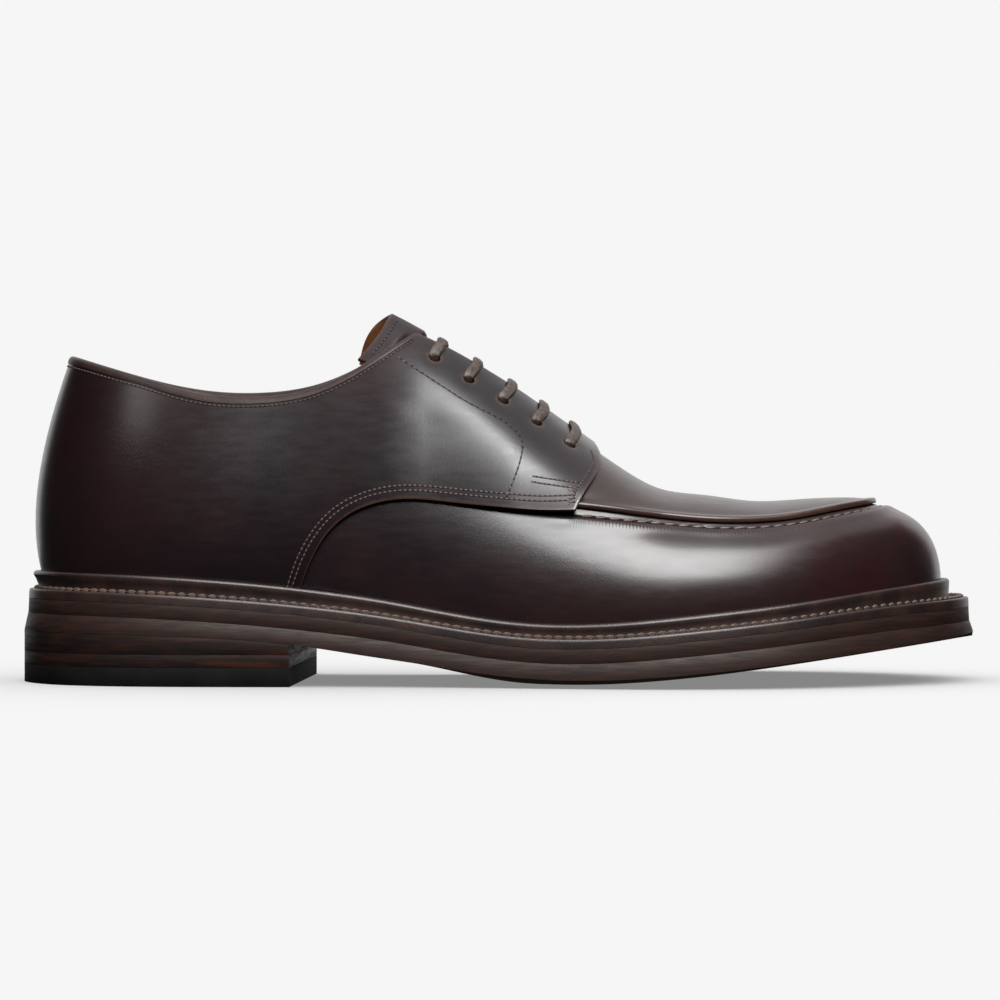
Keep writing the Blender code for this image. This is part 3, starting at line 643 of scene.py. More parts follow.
# %% Thread and holes
def thread_finish(name, colour, roughness=0.5):
    """Waxed thread: one colour with a little soil along it."""
    made = Finish(name, roughness=roughness)
    made.colour(made.mix(made.noise(900, 2), colour, [c * 0.5 for c in colour]))
    made.bump(made.noise(4000, 2), 0.3, 0.0001)
    return made.material


dark_thread = thread_finish("dark_thread", (0.020, 0.009, 0.008))
brown_thread = thread_finish("brown_thread", (0.095, 0.050, 0.040))
seam_thread = thread_finish("seam_thread", (0.17, 0.10, 0.075))
welt_thread = thread_finish("welt_thread", (0.12, 0.075, 0.055))
# Painted shade: the stitch holes are near-black beads laid on the leather where a hole's shade falls.
hole_shade_finish = thread_finish("stitch_hole", (0.003, 0.002, 0.002), 0.9)

# %% [markdown]
# ## The vamp
#
# The lower leather of the shoe runs from the heel round the toe. It is laid on the last in one sheet with
# its lining: 1.5 mm in all, closed at the heel by the back seam. Under the apron it is drawn in to a
# groove where the hand seam pulls it down, and swells softly below. The shade in that groove is painted
# into the leather as a near-black band.

# %% Where each column ends
UPPER_WALL = 1.5
WELT_THICKNESS = 3.2
SEAM_STATION = 0.0075
OVERLAY = 1.2
OVERLAY_GAP = 0.5
QUARTER_GAP = 0.8
FINE = np.linspace(0, TOE, 700)


def top_table(least_gap, medial):
    """The t at which the columns of one side end, for every fine station."""
    return first_true(above_top(medial, least_gap), other_side(FINE, medial))


def edge_table(edge, medial):
    """The t at which the columns of one side cross an edge that is drawn from the side."""
    return first_true(lambda p: p[..., 2] >= edge(p[..., 0]), other_side(FINE, medial))


SIDES = (False, True)
wall_top = {medial: top_table(0.0, medial) for medial in SIDES}
facing_top = {medial: top_table(QUARTER_GAP, medial) for medial in SIDES}
lower_edge = {medial: edge_table(quarter_lower, medial) for medial in SIDES}
seam_edge = {medial: edge_table(apron_seam, medial) for medial in SIDES}


def at_side(table, u):
    """Read a fine table at stations of either side."""
    folded = np.where(u > TOE, ROUND - u, u)
    return np.where(u > TOE, np.interp(folded, FINE, table[True]), np.interp(folded, FINE, table[False]))


def down_from(table, u, down):
    """The t that lies so many millimetres below an edge of the columns."""
    edge = at_side(table, u)
    nudge = 0.01
    speed = np.linalg.norm(column(u, edge) - column(u, edge - nudge), axis=-1) / nudge
    return edge - down / speed


def below_seam(u, t):
    """How far a point of the vamp lies below the apron's edge, in millimetres."""
    edge = at_side(seam_edge, u)
    steps = np.linspace(0, 1, 12)
    run = column(u[..., None], t[..., None] + (edge - t)[..., None] * steps)
    down = np.linalg.norm(np.diff(run, axis=-2), axis=-1).sum(-1)
    return np.where(t < edge, down, -down)


# %% Lay the vamp
PLEAT_ROW = 40
GROOVE_DEPTH = 0.75
SWELL_HEIGHT = 0.45


def drawn_in(x, below):
    """The relief of the vamp: the groove of the hand seam, and the soft swell below it."""
    relief = SWELL_HEIGHT * hump(below, 4.6, 2.2) - GROOVE_DEPTH * hump(below, 1.7, 0.9)
    return smoothstep(8, 24, x) * relief


def lay_vamp():
    """The vamp and its lining as one sheet round the shoe."""
    fan = np.linspace(0, TOE, 215)
    u = np.concatenate([fan, ROUND - fan[-2::-1]])[:, None]
    share = np.concatenate([[0], np.linspace(0, 1, 88)])[None, :]
    t = at_side(wall_top, u) * share
    t[:, 0] = -BURIED
    u = np.broadcast_to(u, t.shape)
    on = np.clip(t, 0, 1)
    below = below_seam(u, on)
    face = last(u, t, drawn_in(column(u, on)[..., 0], below))
    row = face[:, PLEAT_ROW]
    along = np.cumsum(np.linalg.norm(np.diff(row, axis=0, prepend=row[:1]), axis=1))
    marks = {"below": below, "along": np.broadcast_to(along[:, None], t.shape),
             "pulled": smoothstep(19, 24, face[..., 0])}
    bm = lay_sheet(face, last(u, t, -UPPER_WALL), 0.0, closed=True, marks=marks)
    return link("vamp", bm, (vamp_leather, lining_leather, cut_edge))


vamp = lay_vamp()

# %% [markdown]
# ## The quarters
#
# Each quarter is a sheet of 1.2 mm from the back seam to the facing. Its columns follow those of the last,
# but are squeezed so that the last one is its front edge, and its rows run from its lower edge to the
# topline, so the grid follows every edge and can be eased there.

# %% Lay the quarters
EYELETS = 5
EYELET_FIRST = (-21.2, 102.3)
EYELET_STEP = (10.5, -7.2)
EYELET_RADIUS = 1.9
BURIED_EDGE = -64.5
HOLLOW_PLACE = (-24, 84)
HOLLOW_DEPTH = 0.22
DIMPLE_DEPTH = 0.3
CLIMBS_APRON = (-24, 6)


def eyelet(number, medial):
    """The station and height of an eyelet, counted from the top of the throat."""
    x, z = (EYELET_FIRST[i] + EYELET_STEP[i] * number for i in range(2))
    u, t = spot(np.array([x]), np.array([z]), medial)
    return u[0], t[0]


def overlay_lift(x):
    """How high the back of a quarter lies: on the vamp behind, and over the apron at its front."""
    return OVERLAY_GAP + (OVERLAY + CLEARANCE) * smoothstep(*CLIMBS_APRON, x)


def quarter_span(folded, medial):
    """The lowest and highest t of a quarter at stations counted from the heel."""
    lower = np.interp(folded, FINE, lower_edge[medial])
    foot_x = column(other_side(folded, medial), 0 * folded)[..., 0]
    lower = np.where(foot_x < BURIED_EDGE, -BURIED, lower)
    return lower, np.interp(folded, FINE, facing_top[medial])


def quarter_grid(medial, columns=230, rows=90):
    """Stations and heights of a quarter, its last column along the front edge."""
    share = np.linspace(0, 1, rows)
    front = np.full(rows, 8.0)
    for _ in range(SETTLE_ROUNDS):
        lower, top = quarter_span(front, medial)
        t = np.maximum(lower, 0) + share * (top - np.maximum(lower, 0))
        height = column(other_side(front, medial), t)[..., 2]
        found = station(quarter_front(height), t, medial)
        front = 0.5 * front + 0.5 * other_side(found, medial)
    part = np.linspace(0, 1, columns)[:, None]
    u = SEAM_STATION + part * (front[None, :] - SEAM_STATION)
    lower, top = quarter_span(u, medial)
    t = lower + share[None, :] * (top - lower)
    return other_side(u, medial), t


def lay_quarter(name, medial):
    """One quarter: eased at its rims, dimpled at its eyelets, with one soft hollow at the ankle."""
    u, t = quarter_grid(medial)
    centre = last(u, t)
    low = overlay_lift(centre[..., 0])
    dimple, hole = 0 * low, np.full_like(low, 99.0)
    for number in range(EYELETS):
        away = np.linalg.norm(centre - last(*eyelet(number, medial)), axis=-1)
        dimple -= DIMPLE_DEPTH * hump(away, 0, 3.2)
        hole = np.minimum(hole, away - EYELET_RADIUS)
    ahead, above = centre[..., 0] - HOLLOW_PLACE[0], centre[..., 2] - HOLLOW_PLACE[1]
    hollow = -HOLLOW_DEPTH * hump(above + 0.3 * ahead, 0, 3.6) * hump(ahead, 0, 8)
    face = last(u, t, low + OVERLAY + dimple + hollow)
    marks = {"rim": np.minimum(rim_distance(face, False), hole)}
    bm = lay_sheet(face, last(u, t, low), 0.3, marks=marks)
    return link(name, bm, (quarter_leather, cut_edge, cut_edge))


quarters = {medial: lay_quarter(name, medial)
            for name, medial in (("quarter_outside", False), ("quarter_inside", True))}


# %% Punch the eyelets
def punch(pieces):
    """Cut round holes through the quarters and the vamp, square to the leather."""
    bm = bmesh.new()
    for medial in SIDES:
        for number in range(EYELETS):
            u, t = eyelet(number, medial)
            inside, outside = last(u, t, -4.0), last(u, t, 7.0)
            turn = Vector((0, 0, 1)).rotation_difference(Vector(outside - inside)).to_matrix().to_4x4()
            matrix = Matrix.Translation(Vector((inside + outside) / 2) * MM) @ turn
            bmesh.ops.create_cone(bm, cap_ends=True, segments=24, radius1=EYELET_RADIUS * MM,
                                  radius2=EYELET_RADIUS * MM, depth=11 * MM, matrix=matrix)
    punches = link("punches", bm, ())
    for piece in pieces:
        cut = piece.modifiers.new("eyelets", "BOOLEAN")
        cut.solver = "EXACT"
        cut.object = punches
    bpy.context.view_layer.update()
    graph = bpy.context.evaluated_depsgraph_get()
    for piece in pieces:
        piece.data = bpy.data.meshes.new_from_object(piece.evaluated_get(graph))
        piece.modifiers.clear()
    bpy.data.objects.remove(punches)


punch([vamp, *quarters.values()])

# %% [markdown]
# ## The apron
#
# The apron is the flat plug on top of the toe. Its edge is raised on a thick hand seam, so the sheet
# swells to a lip all round the front.

# %% Lay the apron
APRON_THICKNESS = 0.9
APRON_BACK_CREST = 28.5
APRON_BACK_SIDE = 14.0
LIP_ROUND = 0.8
LIP_HEIGHT = 0.6
CREST_EASE = 7.0


def apron_grid(medial, columns=110, rows=46):
    """Stations and heights of one half of the apron, from its back line to the toe."""
    share = np.linspace(0, 1, rows) ** 1.6
    back = np.full(rows, 7.5)
    for _ in range(SETTLE_ROUNDS):
        edge = np.interp(back, FINE, seam_edge[medial])
        t = edge + share * (1 - edge)
        back_x = APRON_BACK_SIDE + (APRON_BACK_CREST - APRON_BACK_SIDE) * smoothstep(0.4, 1.0, t)
        back = 0.5 * back + 0.5 * other_side(station(back_x, t, medial), medial)
    part = np.linspace(0, 1, columns)[:, None]
    u = back[None, :] + part * (TOE - back[None, :])
    edge = np.interp(u, FINE, seam_edge[medial])
    return other_side(u, medial), edge + share[None, :] * (1 - edge)


def lay_apron():
    """The apron: its lip swells and rolls over at the seam, and its middle is eased across the crest."""
    sides = [apron_grid(medial) for medial in SIDES]
    u, t = (np.concatenate([sides[0][i], sides[1][i][-2::-1]]) for i in range(2))
    flat = last(u, t)
    hop = np.linalg.norm(np.diff(flat, axis=1), axis=-1)
    inward = np.concatenate([0 * flat[:, :1, 0], np.cumsum(hop, axis=1)], axis=1)
    lip = LIP_HEIGHT * hump(inward, 0.9, 1.6)
    rolled = LIP_ROUND - np.sqrt(LIP_ROUND ** 2 - np.clip(LIP_ROUND - inward, 0, None) ** 2)
    near_crest = np.clip(CREST_EASE - (inward[:, -1:] - inward), 0, None)
    crown = np.tan(np.radians(-roll(u))) * near_crest ** 2 / (2 * CREST_EASE)
    high = OVERLAY_GAP + APRON_THICKNESS + lip - rolled + crown
    bm = lay_sheet(last(u, t, high), last(u, t, OVERLAY_GAP), 0.05)
    return link("apron_leaf", bm, (apron_leather_and_sheen, cut_edge, cut_edge))


apron = lay_apron()

# %% [markdown]
# ## The tongue
#
# The tongue closes the throat from inside. It is a sheet bent over the instep, its free end bowed up
# behind the facings, where its tan lining shows.

# %% Lay the tongue
LACE_RADIUS = 1.1
TONGUE_FRONT = 44.0
TONGUE_TIP = -34.5
TONGUE_THICKNESS = 1.8
TONGUE_SLANT = 0.44
TONGUE_HOLLOW = {False: 1.0, True: -2.1}
TONGUE_SHOWN = 0.85


def tongue_lift(x, side):
    """How deep the tongue lies: it leaves room for the lace, and rises at its free end."""
    deep = UPPER_WALL + 2 * LACE_RADIUS + 4 * CLEARANCE
    shallow = UPPER_WALL + 2 * CLEARANCE
    depth = deep + (shallow - deep) * smoothstep(-24, -29, x)
    crown = smoothstep(-19.5, -24, x) * (1 - smoothstep(0, 17, np.abs(side)))
    return crown * (depth - TONGUE_SHOWN) - depth


def tongue_point(middle, side, above):
    """Points of the tongue: its end is hollowed outside, and bowed inside so that the lining shows."""
    hollow = np.where(side < 0, TONGUE_HOLLOW[False], TONGUE_HOLLOW[True])
    hollow = hollow * np.sin(np.abs(side) / tongue_half_width(middle) * math.pi)
    x = middle - TONGUE_SLANT * np.abs(side) + hollow * smoothstep(0, TONGUE_TIP, middle)
    return over(x, side, tongue_lift(middle + 0 * side, side) + above)


def lay_tongue():
    """The tongue as a lined sheet."""
    middle = np.linspace(TONGUE_FRONT, TONGUE_TIP, 90)[:, None]
    side = np.linspace(-1, 1, 61)[None, :] * tongue_half_width(middle)
    bm = lay_sheet(tongue_point(middle, side, 0.0), tongue_point(middle, side, -TONGUE_THICKNESS), 0.35)
    return link("tongue_leaf", bm, (quarter_leather, lining_leather, cut_edge))


tongue = lay_tongue()

# %% [markdown]
# ## The collar
#
# A strip of thin leather is folded over the topline. It is a band whose profile runs up the outside, over
# the top in a half round, and down the inside.

# %% Fold the collar binding
COLLAR_PROFILE = [(2.1, 1.72), (2.0, 2.0), (1.2, 2.12), (0.2, 2.02), (-0.45, 1.55), (-0.75, 0.75),
                  (-0.8, -0.1), (-0.5, -0.95), (0.1, -1.6), (1.2, -1.85), (4.0, -1.9), (4.2, -1.52)]
COLLAR_END = -28.5
COLLAR_END_COLUMN = 6.0


def collar_end(medial):
    """The station where the collar meets the throat."""
    top = np.interp(COLLAR_END_COLUMN, FINE, facing_top[medial])
    return other_side(station(COLLAR_END, top, medial), medial)


def collar_band():
    """Loops of the binding along the topline, from one facing round the heel to the other."""
    ends = [float(collar_end(medial)) for medial in SIDES]
    u = np.concatenate([ROUND - np.linspace(ends[1], 0, 130), np.linspace(0, ends[0], 130)[1:]])
    loops = []
    for down, lift in COLLAR_PROFILE + COLLAR_PROFILE[:1]:
        loops.append(last(u % ROUND, down_from(facing_top, u % ROUND, down), lift))
    return np.stack(loops, axis=1), u


collar_points, collar_u = collar_band()
collar = lay_ring("collar_binding", collar_points, (binding_leather,))

# %% [markdown]
# ## The storm welt
#
# The welt is a strip sewn round the shoe. Its flat shelf carries the stitches that hold the sole, and its
# rib stands up against the upper to keep water out. One profile is swept round the outline.

# %% Sweep the welt
QUARTERS_LEAVE = (-54, -44)
WELT_PROFILE = [(0.0, 0.0, -3.2), (0.0, 0.0, 0.0), (0.0, 1.0, 0.0), (0.5, 1.0, 0.45), (1.15, 1.0, 0.42),
                (1.65, 1.0, 0.1), (1.95, 1.0, -0.6), (2.0, 0.5, 0.3), (2.0, 0.12, 0.2), (2.35, 0.0, -0.1)]
SHELF_PROFILE = [(-0.7, -0.2), (-0.25, -0.28), (0.0, -0.6), (0.12, -1.2), (0.2, -3.2)]


def welt_inset(u):
    """How far the inner side of the welt stands off the last: it also clears the quarters behind."""
    return 1.5 * CLEARANCE + (OVERLAY_GAP + OVERLAY) * (1 - smoothstep(*QUARTERS_LEAVE, edge_x(u)))


def ring_point(u, outward, above):
    """A loop of points round the shoe, set off from the welt's edge and from its top."""
    x, y = outline(u, outward)
    return np.stack([x, y, welt_top(x) + above], axis=-1)


u_round = np.concatenate([np.linspace(0, TOE, 261), ROUND - np.linspace(0, TOE, 261)[-2::-1]])
inner = -shelf(u_round) + welt_inset(u_round)
height = rib_height(edge_x(u_round))
slant = height * np.tan(np.radians(lean(u_round)))
welt_loops = [ring_point(u_round, inner + out + part * slant, part * height + above)
              for out, part, above in WELT_PROFILE]
welt_loops += [ring_point(u_round, out + 0 * u_round, above) for out, above in SHELF_PROFILE]
shelf_leather = plain_leather("welt_leather", (0.030, 0.014, 0.011), (0.012, 0.006, 0.006), 0.42, coat=0.25)
welt = lay_ring("storm_welt", np.stack(welt_loops + welt_loops[:1], axis=1), (shelf_leather.material,))


# %% [markdown]
# ## Sole and heel
#
# Each layer is a plate of the whole outline, or for the heel a part of it. A grid is laid across the shoe
# from edge to edge, and extruded down. The eased rim catches the light as a trimmed edge does. Leather
# layers show a fine grain that lies level, so their pattern is squeezed in height.

# %% Grained edges
def grained(name, light, dark, streak=(0.085, 0.022, 0.010), share=0.0, roughness=0.5):
    """Burnished sole leather: level fibres, and on the heel warm streaks."""
    made = Finish(name, specular_ior_level=0.25)
    fibre = made.noise(420, 6, (0.25, 0.25, 2.6))
    body = made.mix(made.ramp(fibre, 0.35, 0.68), dark, light)
    warm = made.math("MULTIPLY", made.ramp(made.noise(60, 5, (0.4, 0.4, 6)), 0.5, 0.7), share)
    made.colour(made.mix(warm, body, streak))
    made.rough(made.ramp(fibre, 0.2, 0.8, roughness + 0.1, roughness - 0.08))
    made.bump(fibre, 0.14, 0.0003)
    made.bump(made.noise(900, 4, (0.5, 0.5, 2)), 0.12, 0.0002)
    return made.material


sole_leather = grained("sole_leather", (0.032, 0.015, 0.011), (0.016, 0.008, 0.0065))
heel_leather = grained("heel_leather", (0.022, 0.010, 0.007), (0.007, 0.004, 0.004), share=0.45)
tread_leather = plain_leather("tread_leather", (0.14, 0.075, 0.045), (0.08, 0.04, 0.025), 0.6).material
rubber = plain_leather("top_piece_rubber", (0.006, 0.0055, 0.0055), (0.003, 0.003, 0.003), 0.75, 300,
                       shine=0.15).material
SOLE_FLARE = 1.6
MIDSOLE_THICKNESS = 4.2
TOP_PIECE_THICKNESS = 6.0
LIFT_THICKNESS = 4.0
BREAST = {False: -65.0, True: -62.0}
CROWN = 3.4
JOINT = 0.1


def across_sole(u, outward, shares):
    """Plan points between the lateral edge at station u and the medial edge opposite it."""
    near, far = outline(u, outward), outline(ROUND - u, outward)
    return [near[i] + (far[i] - near[i]) * shares for i in range(2)]


def sole_plate(name, top, bottom, outward, finishes, rim=0.35):
    """A plate of the full outline; top and bottom give its heights."""
    u, shares = np.linspace(0, TOE, 240)[:, None], np.linspace(0, 1, 25)[None, :]
    faces = []
    for height_of, out in ((top, outward[0]), (bottom, outward[1])):
        x, y = across_sole(u, out, shares)
        faces.append(np.stack([x, y, height_of(x, shares)], axis=-1))
    return link(name, lay_sheet(*faces, rim), finishes, 35)


def tread(x, shares):
    """The underside of the outsole: crowned across, with a flat spot on the floor."""
    crown = CROWN * smoothstep(-50, 10, x) * (1 - 0.5 * smoothstep(60, 150, x))
    return np.maximum(sole_underside(x) - crown * (1 - (2 * shares - 1) ** 2), 0)


middle_top = WELT_THICKNESS + JOINT
middle_low = WELT_THICKNESS + CLEARANCE + MIDSOLE_THICKNESS
midsole = sole_plate("midsole_layer", lambda x, s: welt_top(x) - middle_top,
                     lambda x, s: welt_top(x) - middle_low, (0.15, 0.35), (sole_leather,) * 3, 0.15)
outsole = sole_plate("outsole_layer", lambda x, s: welt_top(x) - middle_low - JOINT, tread,
                     (0.4, SOLE_FLARE), (sole_leather, tread_leather, sole_leather), 0.3)


# %% Build the heel
def heel_plate(name, top, bottom, finishes):
    """A layer of the heel, from the back of the sole to the breast."""
    part, shares = np.linspace(0, 1, 90)[:, None], np.linspace(0, 1, 17)[None, :]
    ends = [float(other_side(station(BREAST[medial], 0.0, medial), medial)) for medial in SIDES]
    near, far = outline(part * ends[0], SOLE_FLARE), outline(ROUND - part * ends[1], SOLE_FLARE)
    x, y = (near[i] + (far[i] - near[i]) * shares for i in range(2))
    faces = [np.stack([x, y, level(x)], axis=-1) for level in (top, bottom)]
    return link(name, lay_sheet(*faces, 0.2), finishes, 35)


lift_low = TOP_PIECE_THICKNESS + LIFT_THICKNESS
lift_upper = heel_plate("lift_upper", lambda x: sole_underside(x) - JOINT, lambda x: lift_low + 0 * x,
                        (heel_leather,) * 3)
lift_lower = heel_plate("lift_lower", lambda x: lift_low - JOINT + 0 * x,
                        lambda x: TOP_PIECE_THICKNESS + 0 * x, (heel_leather,) * 3)
top_piece = heel_plate("top_piece", lambda x: TOP_PIECE_THICKNESS - JOINT + 0 * x, lambda x: 0 * x,
                       (rubber,) * 3)

# %% Lay the insole
INSOLE_THICKNESS = 3.0


def lay_insole():
    """The footbed on the midsole, dished a little under the heel."""
    u, shares = np.linspace(0, TOE, 160)[:, None], np.linspace(0, 1, 31)[None, :]
    x, y = across_sole(u, -shelf(u) - UPPER_WALL - 2 * CLEARANCE, shares)
    rise_at_edge = 1.2 * (2 * shares - 1) ** 4
    top = np.stack([x, y, welt_top(x) - WELT_THICKNESS + INSOLE_THICKNESS + rise_at_edge], axis=-1)
    bottom = np.stack([x, y, welt_top(x) - WELT_THICKNESS + 0 * shares], axis=-1)
    return link("footbed", lay_sheet(top, bottom, 0.4), (sock_leather,) * 3)


footbed = lay_insole()

# %% [markdown]
# ## The lace
#
# One waxed cotton cord crosses straight over each pair of eyelets and slants beneath to the next. The
# route is the frame's own; the cord here is flattened to 3.6 by 1.6 mm and ribbed by its strands.

# %% Run the lace
EYELET_REACH = 13.0
BAR_LEAN = 1.7
BAR_LEAN_STEP = -0.8
LACE_WIDE = 3.6
LACE_THICK = 1.6
EYELET_HUG = 0.016
BAR_SIDE = 9.5
LEAST_GAP = 2.6
UNDER_RUN = [(0.2, 8.5), (0.35, 4.5), (0.5, 0.3), (0.65, -4.5), (0.8, -8.5)]


def lace_route():
    """Points of the lace and its outward side, bar after bar from the toe end."""
    under = -(UPPER_WALL + CLEARANCE + LACE_RADIUS)
    points, outs = [], []
    for number in reversed(range(EYELETS)):
        ends = [eyelet(number, medial) for medial in SIDES]
        heads = []
        for u, t in ends:
            low = overlay_lift(last(u, t)[0]) + OVERLAY
            rim = last(u, t + EYELET_HUG, low + 0.2)
            heads.append([last(u, t, under), last(u, t + EYELET_HUG / 2, low - 1.2), rim])
        foot_x = heads[0][2][0]
        top_lift = overlay_lift(foot_x) + OVERLAY + LACE_THICK / 2 + 0.05
        gap = max(float(throat(foot_x)), LEAST_GAP)
        sides = np.array([-BAR_SIDE, -gap, gap, BAR_SIDE])
        bar_lean = BAR_LEAN + BAR_LEAN_STEP * number
        at = foot_x + bar_lean * (1 - np.abs(sides) / EYELET_REACH)
        ridge, higher = over(at, sides, top_lift), over(at, sides, top_lift + 1)
        points += heads[0] + list(ridge) + heads[1][::-1]
        side_out = [last(*end, 1.0) - last(*end, 0.0) for end in ends]
        outs += [side_out[0]] * 3 + list(higher - ridge) + [side_out[1]] * 3
        if number:
            goal = eyelet(number - 1, False)
            start_x, goal_x = heads[1][0][0], last(*goal, under)[0]
            for part, side in UNDER_RUN:
                at = start_x + (goal_x - start_x) * part
                low, high = over([at, at], side, [under, under + 1])
                points.append(low)
                outs.append(high - low)
    return np.array(points), np.array(outs)


def lay_lace():
    """The cord: an oval section with strands, swept along the route."""
    points, outs = lace_route()
    line, out = eased(points), eased(outs)
    at = np.cumsum(np.linalg.norm(np.diff(line, axis=0, prepend=line[:1]), axis=1))
    ring = 28
    along, across, normal = frame_of(np.gradient(line, axis=0), out)
    turn = np.linspace(0, 2 * math.pi, ring + 1)[None, :, None]
    strand = 1 + 0.05 * np.cos(7 * turn + 0.35 * at[:, None, None])
    wide, thick = (np.sign(wave) * np.abs(wave) ** 0.75 for wave in (np.cos(turn), np.sin(turn)))
    swept = line[:, None] + across[:, None] * wide * strand * LACE_WIDE / 2
    swept = swept + normal[:, None] * thick * strand * LACE_THICK / 2
    return lay_ring("lace_cord", swept, (lace_finish,), sharp=80)


cotton = Finish("waxed_cotton", roughness=0.5, coat_weight=0.15, coat_roughness=0.4)
cotton.colour(cotton.mix(cotton.ramp(cotton.noise(700, 4), 0.3, 0.7), (0.030, 0.018, 0.014),
                         (0.075, 0.050, 0.039)))
cotton.bump(cotton.noise(1800, 3), 0.6, 0.0003)
lace_finish = cotton.material
lace = lay_lace()

# %% [markdown]
# ## Sewing
#
# Every seam that the photograph shows is sewn here. Machine rows are 1.3 to 2.4 mm a stitch. The hand seam
# of the apron and the lock stitches of the welt are coarser, at 4.3 and 3.2 mm.

# %% Sew the seams
threads = {"fine_stitches": brown_thread, "dark_stitches": dark_thread, "seam_stitches": seam_thread,
           "welt_stitches": welt_thread, "stitch_hole_shades": hole_shade_finish}
beads = {name: bmesh.new() for name in threads}
THREAD_LIFT = 0.03
TONGUE_ROW = TONGUE_TIP + 2.6
COLLAR_ROW = 2.9
WELT_ROW = -2.3
SEAM_ROW = 2.0


def sew(name, points, normals, pitch, size, slant=0.0, holes=0.75):
    """One row of stitches, with a near-black bead of painted hole shade between each two."""
    places, along, normal = evenly(points, normals, pitch)
    add_beads(beads[name], places, along, normal, size, slant)
    # The hole beads are painted shade: small near-black discs where the thread dives in.
    if holes:
        ends = places + along / np.linalg.norm(along, axis=1, keepdims=True) * pitch / 2
        add_beads(beads["stitch_hole_shades"], ends, along, normal, (holes, holes, 0.22), segments=6, rings=4)


def sew_side(line, medial, pitch, size, name="fine_stitches", **how):
    """A row that is drawn from the side, sewn on one quarter."""
    u, t = spot(line[:, 0], line[:, 1], medial)
    row = surface_line(u, t, overlay_lift(line[:, 0]) + OVERLAY + THREAD_LIFT)
    sew(name, *row, pitch, size, **how)


FACING_SEAM = [(-33.1, 102.6), (-19.4, 93.4), (-8.0, 85.8), (2.7, 79.0), (6.0, 74.3), (6.0, 70.2),
               (4.5, 64.5), (2.0, 58.0)]
BAR_TACK = [(9.5, 63.9), (16.5, 62.6), (23.7, 61.4)]
LOWER_SEAM = QUARTER_LOWER[1:-2] + [(21.5, 53.6)]
FRONT_SEAM = [(front, height) for height, front in QUARTER_FRONT[1:-1]]
THREAD = (1.3, 0.62, 0.5)
for medial in SIDES:
    sew_side(smooth_line(FACING_SEAM), medial, 2.1, (1.7, 0.6, 0.4), "dark_stitches", holes=0.8)
    across = np.linspace(2, 23, 60) * (1 if medial else -1)
    row = tongue_point(TONGUE_ROW, across, THREAD_LIFT)
    out = tongue_point(TONGUE_ROW, across, 1.0) - row
    sew("dark_stitches", row, out, 1.7, (1.35, 0.6, 0.5))
    sew_side(beside(LOWER_SEAM, 2.6), medial, 1.6, THREAD)
    sew_side(beside(LOWER_SEAM, 4.1), medial, 1.6, THREAD)
    sew_side(beside(FRONT_SEAM, 2.4), medial, 1.3, (1.1, 0.6, 0.5))
    for gap in (0.0, -1.7):
        sew_side(beside(BAR_TACK, gap), medial, 1.5, THREAD)
    for step in range(5):
        tack = [(20.4, 60.4 - 1.1 * step), (21.6, 60.2 - 1.1 * step), (22.8, 60.0 - 1.1 * step)]
        sew_side(smooth_line(tack, 60), medial, 2.4, (2.2, 0.7, 0.5))
collar_line = collar_u % ROUND
collar_height = down_from(facing_top, collar_line, COLLAR_ROW)
collar_row = surface_line(collar_line, collar_height, OVERLAY_GAP + OVERLAY + THREAD_LIFT)
sew("fine_stitches", *collar_row, 1.5, (1.25, 0.6, 0.55))


def seam_line(down):
    """A line on the vamp so many millimetres below the apron's edge, from one quarter to the other."""
    start = {medial: float(other_side(spot([25.0], [54.0], medial)[0][0], medial)) for medial in SIDES}
    near, far = (np.linspace(start[medial], TOE, 200) for medial in SIDES)
    u = np.concatenate([near, ROUND - far[-2::-1]])
    return u, down_from(seam_edge, u, down)


seam_row = surface_line(*seam_line(SEAM_ROW), -0.35)
sew("seam_stitches", *seam_row, 4.3, (3.5, 0.95, 0.8), slant=0.12, holes=0.9)
shelf_line = ring_point(u_round, WELT_ROW + 0 * u_round, 0.12)
sew("welt_stitches", shelf_line, np.tile([0.0, 0.0, 1.0], (len(shelf_line), 1)), 3.2, (3.1, 1.5, 1.5),
    slant=0.35, holes=1.1)
sewn = {name: link(name, beads[name], (threads[name],)) for name in beads}

# %% [markdown]
# ## Fit the pieces to the frame
#
# Every piece rides on the one body of the shoe and stands for the solid that it was laid over.

# %% Ride and replace
STANDS_FOR = [
    (vamp, "upper", "vamp_leather"), (quarters[False], "quarter_lateral", "quarter_leather"),
    (quarters[True], "quarter_medial", "quarter_leather"), (apron, "apron", "vamp_leather"),
    (tongue, "tongue", "tongue_leather"), (footbed, "insole", "lining_leather"),
    (welt, "welt", "welt_leather"), (midsole, "midsole", "sole_leather"),
    (outsole, "outsole", "sole_leather"), (lift_upper, "heel_lift_upper", "heel_leather"),
    (lift_lower, "heel_lift_lower", "heel_leather"), (top_piece, "heel_top_piece", "top_piece_rubber"),
    (lace, "lace", "waxed_cotton"),
]
for piece, node, slot in STANDS_FOR:
    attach(piece, "root")
    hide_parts(node)
for piece, slot in [(collar, "quarter_leather")] + [(row, "waxed_cotton") for row in sewn.values()]:
    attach(piece, "root")

# %% [markdown]
# ## Studio
#
# The shoe stands on pale paper in front of a wall of the same tone. Both glow a little, so that they meet
# without a line. A wide soft box above and before the shoe gives the long highlight on the vamp. A narrow
# one, turned so that it leans, gives the wedge at the ankle. A weak one lifts the heel half, and a broad
# dim light from above fills the rest.

# %% Floor and light
PAPER_TONE = 0.92
PAPER_GREY = 0.8
FLOOR_SHARE = 0.72
REACH = 6.0


